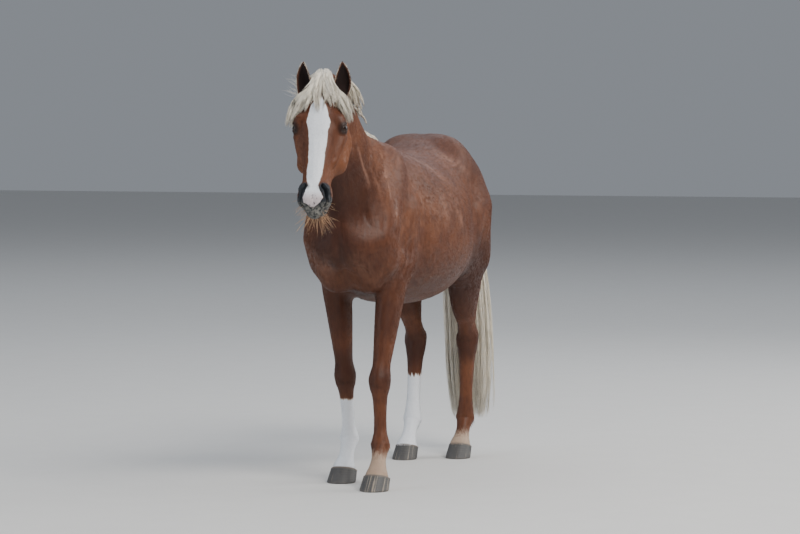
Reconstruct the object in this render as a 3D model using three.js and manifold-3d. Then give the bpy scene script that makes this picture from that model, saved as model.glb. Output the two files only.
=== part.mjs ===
// A life-size standing horse in millimetres: +X is the horse's left, +Y its rear, +Z up.
// The body is one smooth form, blended from tapered lofts and muscles. Each part is meshed
// from that same form and parted from its neighbours with thin plane cuts.
import * as THREE from "three";
import { ConvexGeometry } from "three/addons/geometries/ConvexGeometry.js";
import { mergeVertices } from "three/addons/utils/BufferGeometryUtils.js";
import Module from "manifold-3d";

const wasm = await Module();
wasm.setup();

// ---- Driving sizes ----
const GAP = 0.3; // between parts that meet
const HEAD_LENGTH = 588; // poll to lips
const POLL = [39, -596, 1668];
const HEAD_PITCH = 31; // degrees of the face line from vertical
const HEAD_YAW = 10.5; // degrees to the horse's left
const EYE_RADIUS = 22;
const MIDDLE = [0, 257.1, 0]; // from between the forelegs to the middle of the whole horse

// ---- Vectors ----
const rad = (degrees) => (degrees * Math.PI) / 180;
const add = (a, b, s = 1) => [a[0] + b[0] * s, a[1] + b[1] * s, a[2] + b[2] * s];
const dot = (a, b) => a[0] * b[0] + a[1] * b[1] + a[2] * b[2];
const cross = (a, b) => [a[1] * b[2] - a[2] * b[1], a[2] * b[0] - a[0] * b[2], a[0] * b[1] - a[1] * b[0]];
const unit = (a) => add([0, 0, 0], a, 1 / Math.hypot(...a));
const clamp = (x, low, high) => Math.min(Math.max(x, low), high);
const mix = (a, b, t) => a + (b - a) * t;
const mixAll = (a, b, t) => a.map((value, i) => mix(value, b[i], t));

// ---- Forms: each gives the distance from a point to its surface, negative inside ----
function smoothMin(a, b, k) {
  const h = Math.max(k - Math.abs(a - b), 0) / k;
  return Math.min(a, b) - (h * h * k) / 4;
}

// A smooth curve through rows of numbers, with STEPS samples for each row.
const STEPS = 6;
function sampled(rows) {
  const out = [];
  for (let i = 0; i < rows.length - 1; i++) {
    const [p0, p1, p2, p3] = [-1, 0, 1, 2].map((k) => rows[clamp(i + k, 0, rows.length - 1)]);
    for (let step = 0; step < STEPS; step++) {
      const t = step / STEPS;
      const row = p1.map((value, j) => {
        const m1 = (p2[j] - p0[j]) / 2;
        const m2 = (p3[j] - p1[j]) / 2;
        const d = p2[j] - value;
        return value + t * (m1 + t * (3 * d - 2 * m1 - m2 + t * (m1 + m2 - 2 * d)));
      });
      out.push(row);
    }
  }
  out.push(rows.at(-1));
  return out;
}

function tangentsOf(points) {
  const at = (i) => points[clamp(i, 0, points.length - 1)];
  return points.map((_, i) => unit(add(at(i + 1), at(i - 1), -1)));
}

// A loft along a bent axis. Each row is a point of the axis, then the radius towards `facing`,
// the radius away from it, the half-width and, if it isn't 2, the squareness.
function loft(facing, rows) {
  const samples = sampled(rows.map((row) => (row.length > 6 ? row : [...row, 2])));
  const points = samples.map((s) => s.slice(0, 3));
  const last = points.length - 1;
  const tangents = tangentsOf(points);
  const ups = tangents.map((t) => unit(add(facing, t, -dot(facing, t))));
  const reach = Math.max(...samples.flatMap((s) => s.slice(3, 6)));
  const box = [0, 1, 2].map((axis) => {
    const values = points.map((point) => point[axis]);
    return [Math.min(...values) - reach, Math.max(...values) + reach];
  });
  const form = (p) => {
    let nearest = 0;
    let least = Infinity;
    for (let i = 0; i <= last; i++) {
      const c = points[i];
      const d = (p[0] - c[0]) ** 2 + (p[1] - c[1]) ** 2 + (p[2] - c[2]) ** 2;
      if (d < least) [least, nearest] = [d, i];
    }
    const along = dot(add(p, points[nearest], -1), tangents[nearest]);
    const next = clamp(nearest + Math.sign(along), 0, last);
    const length = Math.hypot(...add(points[next], points[nearest], -1));
    const t = length ? Math.min(Math.abs(along) / length, 1) : 0;
    const s = mixAll(samples[nearest], samples[next], t);
    const up = mixAll(ups[nearest], ups[next], t);
    const tangent = mixAll(tangents[nearest], tangents[next], t);
    const v = add(p, s, -1);
    const u = dot(v, up);
    const [toward, away, side, power] = s.slice(3);
    const high = u > 0 ? toward : away;
    const cap = Math.min(toward, away, side);
    const a = Math.abs(u) / high;
    const b = Math.abs(dot(v, cross(tangent, up))) / side;
    const c = next === nearest ? Math.abs(dot(v, tangent)) / cap : 0;
    const q = (a ** power + b ** power + c ** power) ** (1 / power) + 1e-9;
    const slope = Math.hypot(a ** (power - 1) / high, b ** (power - 1) / side, c ** (power - 1) / cap);
    return (q - 1) / Math.max(slope / q ** (power - 1), 1e-4);
  };
  return { form, box, points, facing };
}

// A muscle: a ball of radius ra at a, drawn out to one of radius rb at b.
function muscle(a, b, ra, rb) {
  const ab = add(b, a, -1);
  const size = dot(ab, ab);
  return (p) => {
    const t = clamp(dot(add(p, a, -1), ab) / size, 0, 1);
    return Math.hypot(...add(p, add(a, ab, t), -1)) - mix(ra, rb, t);
  };
}

// A swelling about c (a hollow if its height is negative), with a radius for each axis.
const swelling = (c, r, height) => (p) =>
  height * Math.exp(-c.reduce((sum, value, axis) => sum + ((p[axis] - value) / r[axis]) ** 2, 0));

const bothSides = (form) => (p) => form([Math.abs(p[0]), p[1], p[2]]);
const DETAIL = 40; // how far outside its box a loft can still matter, beyond its blend
const FAR = 1000; // farther from the surface than anything that is asked about
const NEAR = 200; // swellings matter only this near the surface
// Forms are [loft or function, blend]; swellings push the blended surface out or in.
const blended = (forms, swellings) => (p) => {
  let d = FAR;
  for (const [part, blend] of forms) {
    const margin = blend + DETAIL;
    const beyond = ([low, high], axis) => p[axis] < low - margin || p[axis] > high + margin;
    if (!part.box?.some(beyond)) d = smoothMin(d, (part.form ?? part)(p), blend);
  }
  if (d > NEAR) return d;
  return swellings.reduce((sum, s) => sum - s(p), d);
};

// ---- Trunk ----
// [how far along, top, bottom, half-width, height of the widest place, squareness] as a loft's row
const lengthwise = ([y, top, bottom, width, middle, squareness]) =>
  [0, y, middle, top - middle, middle - bottom, width, squareness];
const TRUNK = [
  [-222, 1120, 900, 84, 1005, 2],
  [-190, 1215, 850, 134, 1010, 2],
  [-110, 1325, 795, 168, 1020, 2],
  [0, 1396, 762, 182, 1040, 2],
  [95, 1420, 748, 196, 1050, 1.9],
  [200, 1398, 738, 232, 1045, 2],
  [350, 1366, 724, 270, 1030, 2.1],
  [500, 1364, 714, 284, 1020, 2.15],
  [640, 1386, 722, 280, 1030, 2.15],
  [760, 1418, 760, 260, 1060, 2.1],
  [870, 1442, 825, 240, 1090, 2.05],
  [980, 1424, 900, 226, 1110, 2],
  [1070, 1374, 960, 196, 1130, 2],
  [1130, 1310, 1020, 140, 1145, 2],
  [1152, 1245, 1085, 64, 1165, 2],
].map(lengthwise);
const TRUNK_MUSCLES = [
  [[84, 60, 1326], [126, -115, 1085], 62, 74], // shoulder blade
  [[126, -172, 1012], [128, -105, 925], 62, 64], // point of the shoulder and upper arm
  [[118, 100, 1120], [122, 74, 890], 88, 64], // back of the upper arm
  [[60, -196, 985], [74, -118, 850], 74, 56], // breast
  [[96, 820, 1312], [108, 1000, 1232], 112, 104], // rump
  [[150, 880, 1090], [152, 865, 930], 106, 84], // front of the thigh
  [[148, 1000, 1110], [142, 1040, 900], 108, 92], // outside of the thigh
  [[92, 1082, 1180], [114, 1082, 930], 94, 88], // buttock
];
const TRUNK_SWELLINGS = [
  [[212, 725, 1290], [46, 60, 46], 16], // point of the hip
  [[262, 765, 1110], [80, 70, 130], -14], // hollow of the flank
  [[165, -45, 1160], [60, 50, 150], -8], // groove before the shoulder
  [[205, 165, 1060], [70, 46, 170], -10], // groove behind the shoulder
  [[0, -262, 960], [16, 60, 100], -13], // groove down the breast
  [[0, 1210, 1090], [26, 70, 130], -26], // groove between the buttocks
];

// ---- Neck ----
const NECK = [
  [0, -40, 1185, 238, 250, 138],
  [0, -150, 1285, 196, 215, 102],
  [4, -265, 1385, 168, 176, 82],
  [14, -375, 1475, 146, 146, 74],
  [24, -465, 1545, 122, 130, 70],
  [30, -532, 1590, 94, 114, 66],
];

// ---- Head, in its own frame: x to the left, y down the face from the poll, z out of the face ----
const pitch = rad(HEAD_PITCH);
const yaw = rad(HEAD_YAW);
const ahead = [Math.sin(yaw), -Math.cos(yaw), 0];
const HEAD_AXES = [
  [Math.cos(yaw), Math.sin(yaw), 0],
  [ahead[0] * Math.sin(pitch), ahead[1] * Math.sin(pitch), -Math.cos(pitch)],
  [ahead[0] * Math.cos(pitch), ahead[1] * Math.cos(pitch), Math.sin(pitch)],
];
const toHead = (p) => HEAD_AXES.map((axis) => dot(axis, add(p, POLL, -1)));
const fromHead = (p) => p.reduce((sum, value, i) => add(sum, HEAD_AXES[i], value), POLL);

// As the trunk's rows, down the face: the first number is a share of the way to the lips.
const LIPS = HEAD_LENGTH - 34;
const HEAD = [
  [0.0, -8, -130, 58, -70, 2.1],
  [0.1, 12, -190, 76, -76, 2.2],
  [0.22, 19, -240, 92, -84, 2.4],
  [0.34, 14, -262, 97, -96, 2.5],
  [0.46, 5, -244, 90, -100, 2.5],
  [0.58, -1, -202, 73, -90, 2.5],
  [0.7, -5, -170, 60, -80, 2.5],
  [0.8, -8, -150, 56, -78, 2.5],
  [0.88, -12, -142, 60, -76, 2.5],
  [0.95, -24, -136, 54, -80, 2.4],
  [1.0, -48, -116, 34, -84, 2.2],
].map(([share, ...rest]) => lengthwise([share * LIPS, ...rest]));
const HEAD_MUSCLES = [
  [[54, 180, -186], [60, 304, -152], 50, 42], // cheek
  [[76, 176, -18], [92, 202, -24], 24, 18], // brow
  [[90, 236, -58], [62, 345, -64], 17, 12], // facial crest
  [[50, 42, -50], [60, 66, -48], 28, 24], // root of the ear
  [[44, 484, -46], [40, 520, -62], 24, 22], // rim of the nostril
];
const CHIN = [[-16, 530, -122], [16, 530, -122], 26, 26];
const EYE = [87, 0.357 * HEAD_LENGTH, -36]; // the left one, in the head's frame
const HEAD_SWELLINGS = [
  [EYE, [24, 27, 20], -5], // about the eye
  [[70, 128, 0], [24, 36, 20], -9], // hollow above the eye
  [[66, 500, -42], [13, 22, 11], -16], // nostril
  [[0, 566, -104], [60, 9, 9], -9], // between the lips
  [[64, 356, -126], [30, 70, 36], -7], // behind the corner of the mouth
  [[0, 400, -175], [20, 120, 40], -16], // between the branches of the jaw
];
const headForm = blended(
  [
    [loft([0, 0, 1], HEAD), 1],
    ...HEAD_MUSCLES.map((m) => [bothSides(muscle(...m)), 32]),
    [muscle(...CHIN), 24],
  ],
  HEAD_SWELLINGS.map((s) => bothSides(swelling(...s))),
);

// ---- Legs ----
// A profile row is [place along the joints, radius forward, radius back, half-width]:
// 1.4 is four tenths of the way from joint 1 to joint 2.
const FORELEG = [
  [0, 108, 104, 62],
  [1, 90, 96, 60],
  [1.15, 80, 83, 56],
  [1.4, 66, 70, 50],
  [1.65, 53, 56, 43],
  [1.83, 44, 45, 39],
  [1.93, 45, 43, 45],
  [2, 46, 46, 48],
  [2.12, 42, 44, 44],
  [2.26, 32, 38, 34],
  [2.5, 26, 35, 29],
  [2.76, 27, 36, 29],
  [2.9, 33, 41, 35],
  [3, 37, 44, 40],
  [3.18, 33, 40, 36],
  [3.42, 29, 33, 32],
  [3.68, 33, 34, 37],
  [3.88, 43, 41, 46],
  [4, 46, 43, 50],
  [4.3, 50, 44, 52],
];
const HINDLEG = [
  [0, 205, 165, 84],
  [1, 168, 165, 80],
  [1.45, 128, 130, 72],
  [2, 85, 104, 58],
  [2.35, 62, 81, 47],
  [2.62, 50, 68, 40],
  [2.82, 48, 70, 42],
  [2.92, 50, 66, 47],
  [3, 51, 59, 49],
  [3.12, 48, 52, 46],
  [3.26, 40, 46, 38],
  [3.45, 32, 40, 33],
  [3.7, 29, 38, 31],
  [3.88, 34, 43, 36],
  [4, 38, 46, 41],
  [4.18, 33, 41, 36],
  [4.42, 29, 33, 32],
  [4.68, 33, 34, 36],
  [4.88, 42, 40, 44],
  [5, 45, 42, 48],
  [5.3, 49, 43, 50],
];
// The joints from the top down: [to the left, back, up].
const LEGS = {
  foreleg_left: [[132, 30, 900], [122, 6, 800], [108, -96, 437], [122, -130, 176], [131, -206, 52]],
  foreleg_right: [[-132, 40, 900], [-120, 34, 800], [-100, 74, 440], [-94, 112, 176], [-92, 34, 52]],
  hindleg_left: [
    [146, 950, 1110],
    [146, 975, 890],
    [124, 1045, 690],
    [107, 1150, 528],
    [95, 1152, 172],
    [94, 1078, 54],
  ],
  hindleg_right: [
    [-146, 945, 1110],
    [-144, 960, 890],
    [-124, 1005, 690],
    [-116, 1092, 524],
    [-116, 1042, 170],
    [-118, 964, 54],
  ],
};
const LEG_PROFILES = { fore: FORELEG, hind: HINDLEG };
const FORWARD = [0, -1, 0];
const legRows = (joints, profile) =>
  profile.map(([place, ...radii]) => {
    const i = Math.min(Math.floor(place), joints.length - 2);
    return [...mixAll(joints[i], joints[i + 1], place - i), ...radii];
  });

const trunkLoft = loft([0, 0, 1], TRUNK);
const neckLoft = loft([0, 1, 0.2], NECK);
const TORSO = [
  [trunkLoft, 1],
  ...TRUNK_MUSCLES.map((m) => [bothSides(muscle(...m)), 64]),
  [neckLoft, 90],
  [(p) => headForm(toHead(p)), 34],
];
const legForms = Object.entries(LEGS).map(([name, joints]) => [
  loft(FORWARD, legRows(joints, LEG_PROFILES[name.slice(0, 4)])),
  46,
]);
const trunkSwellings = TRUNK_SWELLINGS.map((s) => bothSides(swelling(...s)));
const torsoForm = blended(TORSO, trunkSwellings);
const bodyForm = blended([...TORSO, ...legForms], trunkSwellings);

// ---- Ears: leaf-shaped cups standing on the head, in the head's frame ----
const EAR_ROOT = [62, 70, -47];
const EAR_TIP = [77, -52, 35];
const EAR_FACING = [0.35, 0.49, 0.8]; // the way the cup opens
const EAR_WALL = 5;
const HAIR_ROOM = 3; // between an ear or eye and the hair about it
const EAR_BOW = 8; // how far the middle leans back
const EAR_SPREAD = 9; // and outward
// [share of the length, half-width, depth behind, depth in front, how hollow]
const EAR = [
  [-0.12, 20, 17, 17, 0],
  [0.02, 25, 21, 15, 0],
  [0.16, 28, 23, 8, 0.45],
  [0.34, 29, 22, 3, 0.9],
  [0.54, 26, 19, 2, 1],
  [0.74, 19, 14, 2, 0.9],
  [0.9, 10, 8, 2, 0.5],
];
const EAR_OUTER = [-105, -80, -55, -28, 0, 28, 55, 80, 105].map(rad);
const EAR_INNER = [75, 45, 15, -15, -45, -75].map(rad);

// ---- Hair ----
// The mane lies over the crest and falls to the right:
// [share of the way from the withers to the poll, degrees it falls to the right, to the left, depth]
const MANE = [
  [0, 30, 10, -8],
  [0.04, 40, 10, 9],
  [0.12, 52, 12, 20],
  [0.3, 76, 14, 27],
  [0.52, 94, 18, 31],
  [0.74, 102, 34, 34],
  [0.88, 106, 66, 34],
  [0.97, 102, 84, 24],
  [1.04, 92, 76, 12],
  [1.1, 80, 66, -12],
];

// Locks of the forelock, in the head's frame: rows of [point, out, in, half-width].
const FORELOCK = [
  [
    [0, -34, -8, 18, 30, 40],
    [0, 20, 14, 18, 24, 44],
    [2, 90, 24, 12, 14, 36],
    [6, 172, 20, 6, 6, 14],
  ],
  [
    [-8, -26, -4, 18, 26, 32],
    [-32, 36, 10, 18, 24, 38],
    [-56, 104, 12, 13, 18, 34],
    [-66, 160, 8, 6, 6, 16],
  ],
  [
    [-12, -22, -4, 20, 26, 30],
    [-52, 42, -4, 22, 28, 31],
    [-100, 108, -22, 18, 24, 34],
    [-124, 198, -44, 7, 7, 18],
  ],
  [
    [8, -26, -4, 18, 26, 32],
    [30, 34, 10, 18, 24, 38],
    [50, 96, 12, 13, 18, 32],
    [58, 146, 10, 6, 6, 14],
  ],
  [
    [12, -22, -4, 20, 26, 30],
    [50, 38, -3, 20, 26, 29],
    [90, 96, -18, 16, 22, 30],
    [106, 160, -34, 7, 7, 15],
  ],
];

// [point, radius behind, radius in front, half-width]
const TAIL = [
  [0, 1090, 1272, 34, 36, 34],
  [0, 1150, 1266, 36, 38, 36],
  [2, 1200, 1236, 42, 42, 44],
  [10, 1238, 1170, 50, 46, 60],
  [22, 1262, 1070, 56, 50, 82],
  [38, 1282, 900, 60, 52, 101],
  [52, 1293, 700, 62, 54, 112],
  [64, 1302, 480, 60, 52, 110],
  [76, 1308, 300, 52, 48, 98],
  [84, 1312, 190, 36, 36, 76],
  [86, 1314, 150, 20, 20, 44],
];
const tailLoft = loft([0, 1, 0.2], TAIL);

// ---- From form to mesh ----
// Rings of corners, each ring joined to the next and the ends closed on `first` and `final`.
function closedRings(rings, first, final) {
  const sides = rings[0].length;
  const corners = [...rings.flat(), first, final];
  const [start, end] = [corners.length - 2, corners.length - 1];
  const far = (a, b) => Math.hypot(...add(corners[a], corners[b], -1));
  const faces = [];
  for (let j = 0; j < sides; j++) {
    const k = (j + 1) % sides;
    faces.push(start, k, j, end, start - sides + j, start - sides + k);
    for (let ring = 0; ring < start - sides; ring += sides) {
      const [a, b, c, d] = [ring + j, ring + k, ring + sides + k, ring + sides + j];
      if (far(a, c) < far(b, d)) faces.push(a, b, c, a, c, d);
      else faces.push(b, c, d, b, d, a);
    }
  }
  return solid(corners.flat(), faces);
}

const solid = (positions, faces) =>
  new wasm.Manifold(
    new wasm.Mesh({
      numProp: 3,
      vertProperties: new Float32Array(positions),
      triVerts: new Uint32Array(faces),
    }),
  );

// Moves a point straight onto the surface, by no more than `most` in each round.
function settled(form, start, level, most) {
  let p = start;
  for (let round = 0; round < 3; round++) {
    const value = form(p) - level;
    const slope = [0, 1, 2].map((axis) => {
      const beside = [...p];
      beside[axis] += 0.5;
      return (form(beside) - level - value) * 2;
    });
    const steep = Math.hypot(...slope) + 1e-9;
    p = add(p, slope, -clamp(value / steep, -most, most) / steep);
  }
  return p;
}

// One vertex for each cell that the surface crosses, moved onto the surface, and one square for
// each grid edge that it crosses. `turn` takes a point from the grid's own frame to the horse's;
// `level` is how far outside the form the corners end.
const CUBE = Array.from({ length: 8 }, (_, b) => [b & 1, (b >> 1) & 1, b >> 2]);
const CELL_EDGES = CUBE.flatMap((_, a) => [1, 2, 4].filter((bit) => !(a & bit)).map((bit) => [a, a | bit]));
const AROUND = [[0, 0], [1, 0], [1, 1], [0, 1]];
function meshOf(form, { low, high, cell, turn = (p) => p }, level = 0) {
  const local = (p) => form(turn(p));
  const n = low.map((value, axis) => Math.ceil((high[axis] - value) / cell[axis]) + 1);
  const at = (c) => c.map((value, axis) => low[axis] + value * cell[axis]);
  const index = (c) => (c[2] * n[1] + c[1]) * n[0] + c[0];
  const each = (count, visit) => {
    for (let k = 0; k < count[2]; k++)
      for (let j = 0; j < count[1]; j++) for (let i = 0; i < count[0]; i++) visit([i, j, k]);
  };
  const values = new Float64Array(n[0] * n[1] * n[2]);
  each(n, (c) => {
    const edge = c.some((value, axis) => value === 0 || value === n[axis] - 1);
    const value = local(at(c));
    values[index(c)] = edge ? Math.max(value, 1) : value;
  });
  const cells = n.map((count) => count - 1);
  const origin = turn([0, 0, 0]);
  const [right, far, up] = [[1, 0, 0], [0, 1, 0], [0, 0, 1]].map((axis) => add(turn(axis), origin, -1));
  const mirrored = dot(cross(right, far), up) < 0;
  const vertexOf = new Map();
  const positions = [];
  each(cells, (c) => {
    const corners = CUBE.map((corner) => add(c, corner));
    const v = corners.map((corner) => values[index(corner)]);
    const crossed = CELL_EDGES.filter(([a, b]) => v[a] < 0 !== v[b] < 0);
    if (!crossed.length) return;
    const sum = crossed
      .map(([a, b]) => mixAll(at(corners[a]), at(corners[b]), v[a] / (v[a] - v[b])))
      .reduce((a, b) => add(a, b));
    const start = sum.map((value) => value / crossed.length);
    vertexOf.set(index(c), positions.length);
    positions.push(turn(settled(local, start, level, Math.min(...cell) / 2)));
  });
  const faces = [];
  each(cells, (c) => {
    for (const axis of [0, 1, 2]) {
      const [s, t] = [(axis + 1) % 3, (axis + 2) % 3];
      if (c[s] === 0 || c[t] === 0) continue;
      const beyond = [...c];
      beyond[axis]++;
      const inside = values[index(c)] < 0;
      if (inside === values[index(beyond)] < 0) continue;
      const ring = AROUND.map(([m, o]) => {
        const cellAt = [...c];
        cellAt[s] -= m;
        cellAt[t] -= o;
        return vertexOf.get(index(cellAt));
      });
      if (inside === mirrored) ring.reverse();
      faces.push(ring[0], ring[1], ring[2], ring[0], ring[2], ring[3]);
    }
  });
  return solid(positions.flat(), faces);
}

// The point straight out from a centre inside the form to its surface, or as far as `most`.
// `deep` can turn that distance into another.
function outward(form, centre, direction, most, deep = (far) => far, level = 0) {
  let inside = 0;
  let outside = 0;
  while (outside < most) {
    const value = form(add(centre, direction, outside)) - level;
    if (value > 0) break;
    inside = outside;
    outside = Math.min(outside + Math.max(-0.8 * value, 2), most);
  }
  for (let round = 0; round < 12 && outside > inside; round++) {
    const half = (inside + outside) / 2;
    if (form(add(centre, direction, half)) > level) outside = half;
    else inside = half;
  }
  return add(centre, direction, deep(inside));
}

// Rings about an axis, each corner found by going straight out from the axis to the surface, or as
// far as `limit(ring, angle)`. The ends are closed on the surface beyond the first and last rings.
function tubeOf(form, points, facing, sides, limit, level = 0) {
  const reach = (centre, direction, most) =>
    outward(form, centre, direction, most + level, undefined, level);
  const tangents = tangentsOf(points);
  const rings = points.map((centre, i) => {
    const up = unit(add(facing, tangents[i], -dot(facing, tangents[i])));
    const side = cross(tangents[i], up);
    return Array.from({ length: sides }, (_, j) => {
      const angle = (j / sides) * 2 * Math.PI;
      const direction = add(add([0, 0, 0], up, Math.cos(angle)), side, Math.sin(angle));
      return reach(centre, direction, limit(i, angle));
    });
  });
  const first = reach(points[0], add([0, 0, 0], tangents[0], -1), limit(0, 0));
  return closedRings(rings, first, reach(points.at(-1), tangents.at(-1), limit(points.length - 1, 0)));
}

function earRings(side, grow) {
  const axis = add(EAR_TIP, EAR_ROOT, -1);
  const facing = unit(add(EAR_FACING, axis, -dot(EAR_FACING, axis) / dot(axis, axis)));
  const across = unit(cross(axis, facing));
  const at = ([x, y, z]) => fromHead([x * side, y, z]);
  const rings = EAR.map(([share, width, behind, front, hollow]) => {
    const bend = Math.sin(Math.PI * clamp(share, 0, 1));
    const [x, y, z] = add(mixAll(EAR_ROOT, EAR_TIP, share), facing, -EAR_BOW * bend);
    const centre = [x + EAR_SPREAD * bend, y, z];
    const point = (sideways, forward) => at(add(add(centre, across, sideways), facing, forward));
    const outer = EAR_OUTER.map((a) => point((width + grow) * Math.sin(a), -(behind + grow) * Math.cos(a)));
    const inner = EAR_INNER.map((a) => {
      const forward = mix(front, EAR_WALL - behind, hollow);
      return point((width - EAR_WALL) * Math.sin(a), forward * Math.cos(a));
    });
    return side > 0 ? [...outer, ...inner] : [...outer, ...inner].reverse();
  });
  const root = at(mixAll(EAR_ROOT, EAR_TIP, EAR[0][0]));
  return [rings, root, at(add(EAR_TIP, unit(axis), grow))];
}
const earSolid = (side) => closedRings(...earRings(side, 0));
// The room that an ear takes up, cup and all.
function earSpace(side) {
  const [rings, root, tip] = earRings(side, HAIR_ROOM);
  return solidOf(new ConvexGeometry([...rings.flat(), root, tip].map((p) => new THREE.Vector3(...p))));
}

function solidOf(geometry) {
  const bare = geometry.clone();
  for (const name of Object.keys(bare.attributes)) if (name !== "position") bare.deleteAttribute(name);
  const merged = mergeVertices(bare, 1e-3);
  return solid(merged.attributes.position.array, merged.index.array);
}

// Everything on the side of a plane that its normal points to, as a large box.
const REACH = 3000;
function halfSpace(point, normal) {
  const box = new THREE.BoxGeometry(REACH, REACH, REACH);
  box.translate(0, 0, REACH / 2);
  const up = new THREE.Vector3(0, 0, 1);
  box.applyQuaternion(new THREE.Quaternion().setFromUnitVectors(up, new THREE.Vector3(...unit(normal))));
  box.translate(...point);
  return solidOf(box);
}
// The space inside several planes, each [point, outward normal], grown by `grow`.
const within = (planes, grow = 0) =>
  planes
    .map(([point, normal]) => halfSpace(add(point, unit(normal), grow), normal.map((x) => -x)))
    .reduce((a, b) => a.intersect(b));

// ---- Cuts ----
const HEAD_CUT = [[30, -516, 1545], [0.2, 0.95, 0.3]]; // outward from the head
const NECK_CUT = [[0, -135, 1260], [0, 0.74, -0.67]]; // outward from the neck
// The space of each left leg: inner, top, rear and front planes; the hind one has a lower part too.
const LEG_SPACES = {
  fore: [
    [
      [[30, 0, 0], [-1, 0, 0]],
      [[50, 0, 790], [-0.5, 0, 0.85]],
      [[0, 140, 800], [0, 1, 0.08]],
      [[0, -165, 800], [0, -1, 0.28]],
    ],
  ],
  hind: [
    [
      [[26, 0, 0], [-1, 0, 0]],
      [[40, 0, 870], [-0.5, 0, 0.85]],
      [[0, 810, 800], [0, -1, -0.45]],
      [[0, 0, 700], [0, 0, -1]],
      [[0, 1700, 0], [0, 1, 0]],
    ],
    [
      [[26, 0, 0], [-1, 0, 0]],
      [[0, 0, 730], [0, 0, 1]],
      [[0, 780, 0], [0, -1, 0]],
      [[0, 1700, 0], [0, 1, 0]],
    ],
  ],
};
const legSpace = (kind, side, grow = 0) =>
  LEG_SPACES[kind]
    .map((planes) => within(planes.map((plane) => plane.map(([x, y, z]) => [x * side, y, z])), grow))
    .reduce((a, b) => a.add(b));

// ---- Hooves ----
// Half-width and reach forward and back on the ground, and the coronet's height in front and behind.
const HOOF = {
  fore: { width: 61, toe: 70, heel: 56, high: 68, low: 36 },
  hind: { width: 56, toe: 68, heel: 54, high: 70, low: 38 },
};
const HOOF_LEAN = 0.72; // how far the wall goes back for each mm up
const HOOF_SIDES = 20;
const HOOF_LEVELS = [[0, 0.97], [5, 1], [90, 0.86]]; // [height, size]
const SOLE_BACK = 30; // from the middle of the sole back to the middle of the coronet
const coronet = (foot, size) => [
  [foot[0], foot[1], (size.high + size.low) / 2],
  unit([0, (size.high - size.low) / 90, 1]),
];
function hoof(foot, size) {
  const positions = [];
  for (const [z, scale] of HOOF_LEVELS)
    for (let i = 0; i < HOOF_SIDES; i++) {
      const angle = (i / HOOF_SIDES) * 2 * Math.PI;
      const forward = Math.cos(angle);
      const narrowing = 1 - 0.12 * Math.max(-forward, 0);
      const x = Math.sin(angle) * size.width * scale * narrowing;
      const y = -forward * (forward > 0 ? size.toe : size.heel) * scale;
      positions.push(foot[0] + x, foot[1] - SOLE_BACK + y + HOOF_LEAN * z, z);
    }
  const faces = [];
  const top = (HOOF_LEVELS.length - 1) * HOOF_SIDES;
  for (let ring = 0; ring < top; ring += HOOF_SIDES)
    for (let i = 0; i < HOOF_SIDES; i++) {
      const [a, b] = [ring + i, ring + ((i + 1) % HOOF_SIDES)];
      faces.push(a, b, a + HOOF_SIDES, b, b + HOOF_SIDES, a + HOOF_SIDES);
    }
  for (let i = 1; i < HOOF_SIDES - 1; i++) faces.push(0, i + 1, i, top, top + i, top + i + 1);
  return solid(positions, faces).intersect(within([coronet(foot, size)]));
}

// ---- Materials ----
const material = (color, roughness) => new THREE.MeshStandardMaterial({ color, roughness, metalness: 0 });
const COAT = () => material(0x8a4a2c, 0.55);
const CREAM_HAIR = () => material(0xd9cdb6, 0.7);
const HORN = () => material(0x5a5650, 0.5);
const EYE_GLOSS = () => material(0x140d0a, 0.08);

// ---- Putting the horse together ----
const horse = new THREE.Group();
const WELD = 0.05; // corners nearer than this are one
function place(name, shape, finish) {
  const mesh = shape.getMesh();
  const cut = new THREE.BufferGeometry();
  cut.setAttribute("position", new THREE.BufferAttribute(new Float32Array(mesh.vertProperties), 3));
  cut.setIndex(new THREE.BufferAttribute(new Uint32Array(mesh.triVerts), 1));
  const welded = mergeVertices(cut, WELD);
  const corners = welded.index.array;
  const faces = [];
  for (let i = 0; i < corners.length; i += 3) {
    const [a, b, c] = corners.slice(i, i + 3);
    if (a !== b && b !== c && c !== a) faces.push(a, b, c);
  }
  welded.setIndex(faces);
  welded.translate(...MIDDLE.map((x) => -x));
  welded.computeVertexNormals();
  const made = new THREE.Mesh(welded, finish);
  made.name = name;
  horse.add(made);
}

const HEAD_GRID = { low: [-170, -130, -330], high: [170, 640, 90], cell: [22, 30, 22], turn: fromHead };
const TRUNK_SIDES = 20;
const TRUNK_RINGS = 24;
const NECK_SIDES = 18;
const LEG_SIDES = 12;
const TAIL_SIDES = 12;
const every = (step, points) => points.filter((_, i) => i % step === 0);

// The trunk's rings are closer together towards its ends.
const TRUNK_ENDS = [-296, 1196];
const trunkRings = Array.from({ length: TRUNK_RINGS }, (_, i) => {
  const t = (i + 1) / (TRUNK_RINGS + 1);
  const y = mix(...TRUNK_ENDS, mix(t, (1 - Math.cos(Math.PI * t)) / 2, 0.6));
  const ahead = Math.max(trunkLoft.points.findIndex((point) => point[1] > y), 1);
  const next = y > TRUNK.at(-1)[1] ? trunkLoft.points.length - 1 : ahead;
  const [from, to] = trunkLoft.points.slice(next - 1, next + 1);
  return [0, y, mix(from[2], to[2], clamp((y - from[1]) / (to[1] - from[1]), 0, 1))];
});
const trunkTube = (level) => tubeOf(torsoForm, trunkRings, [0, 0, 1], TRUNK_SIDES, () => 700, level);
const neckTube = (level) =>
  tubeOf(bodyForm, every(2, neckLoft.points), neckLoft.facing, NECK_SIDES, () => 420, level);

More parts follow.
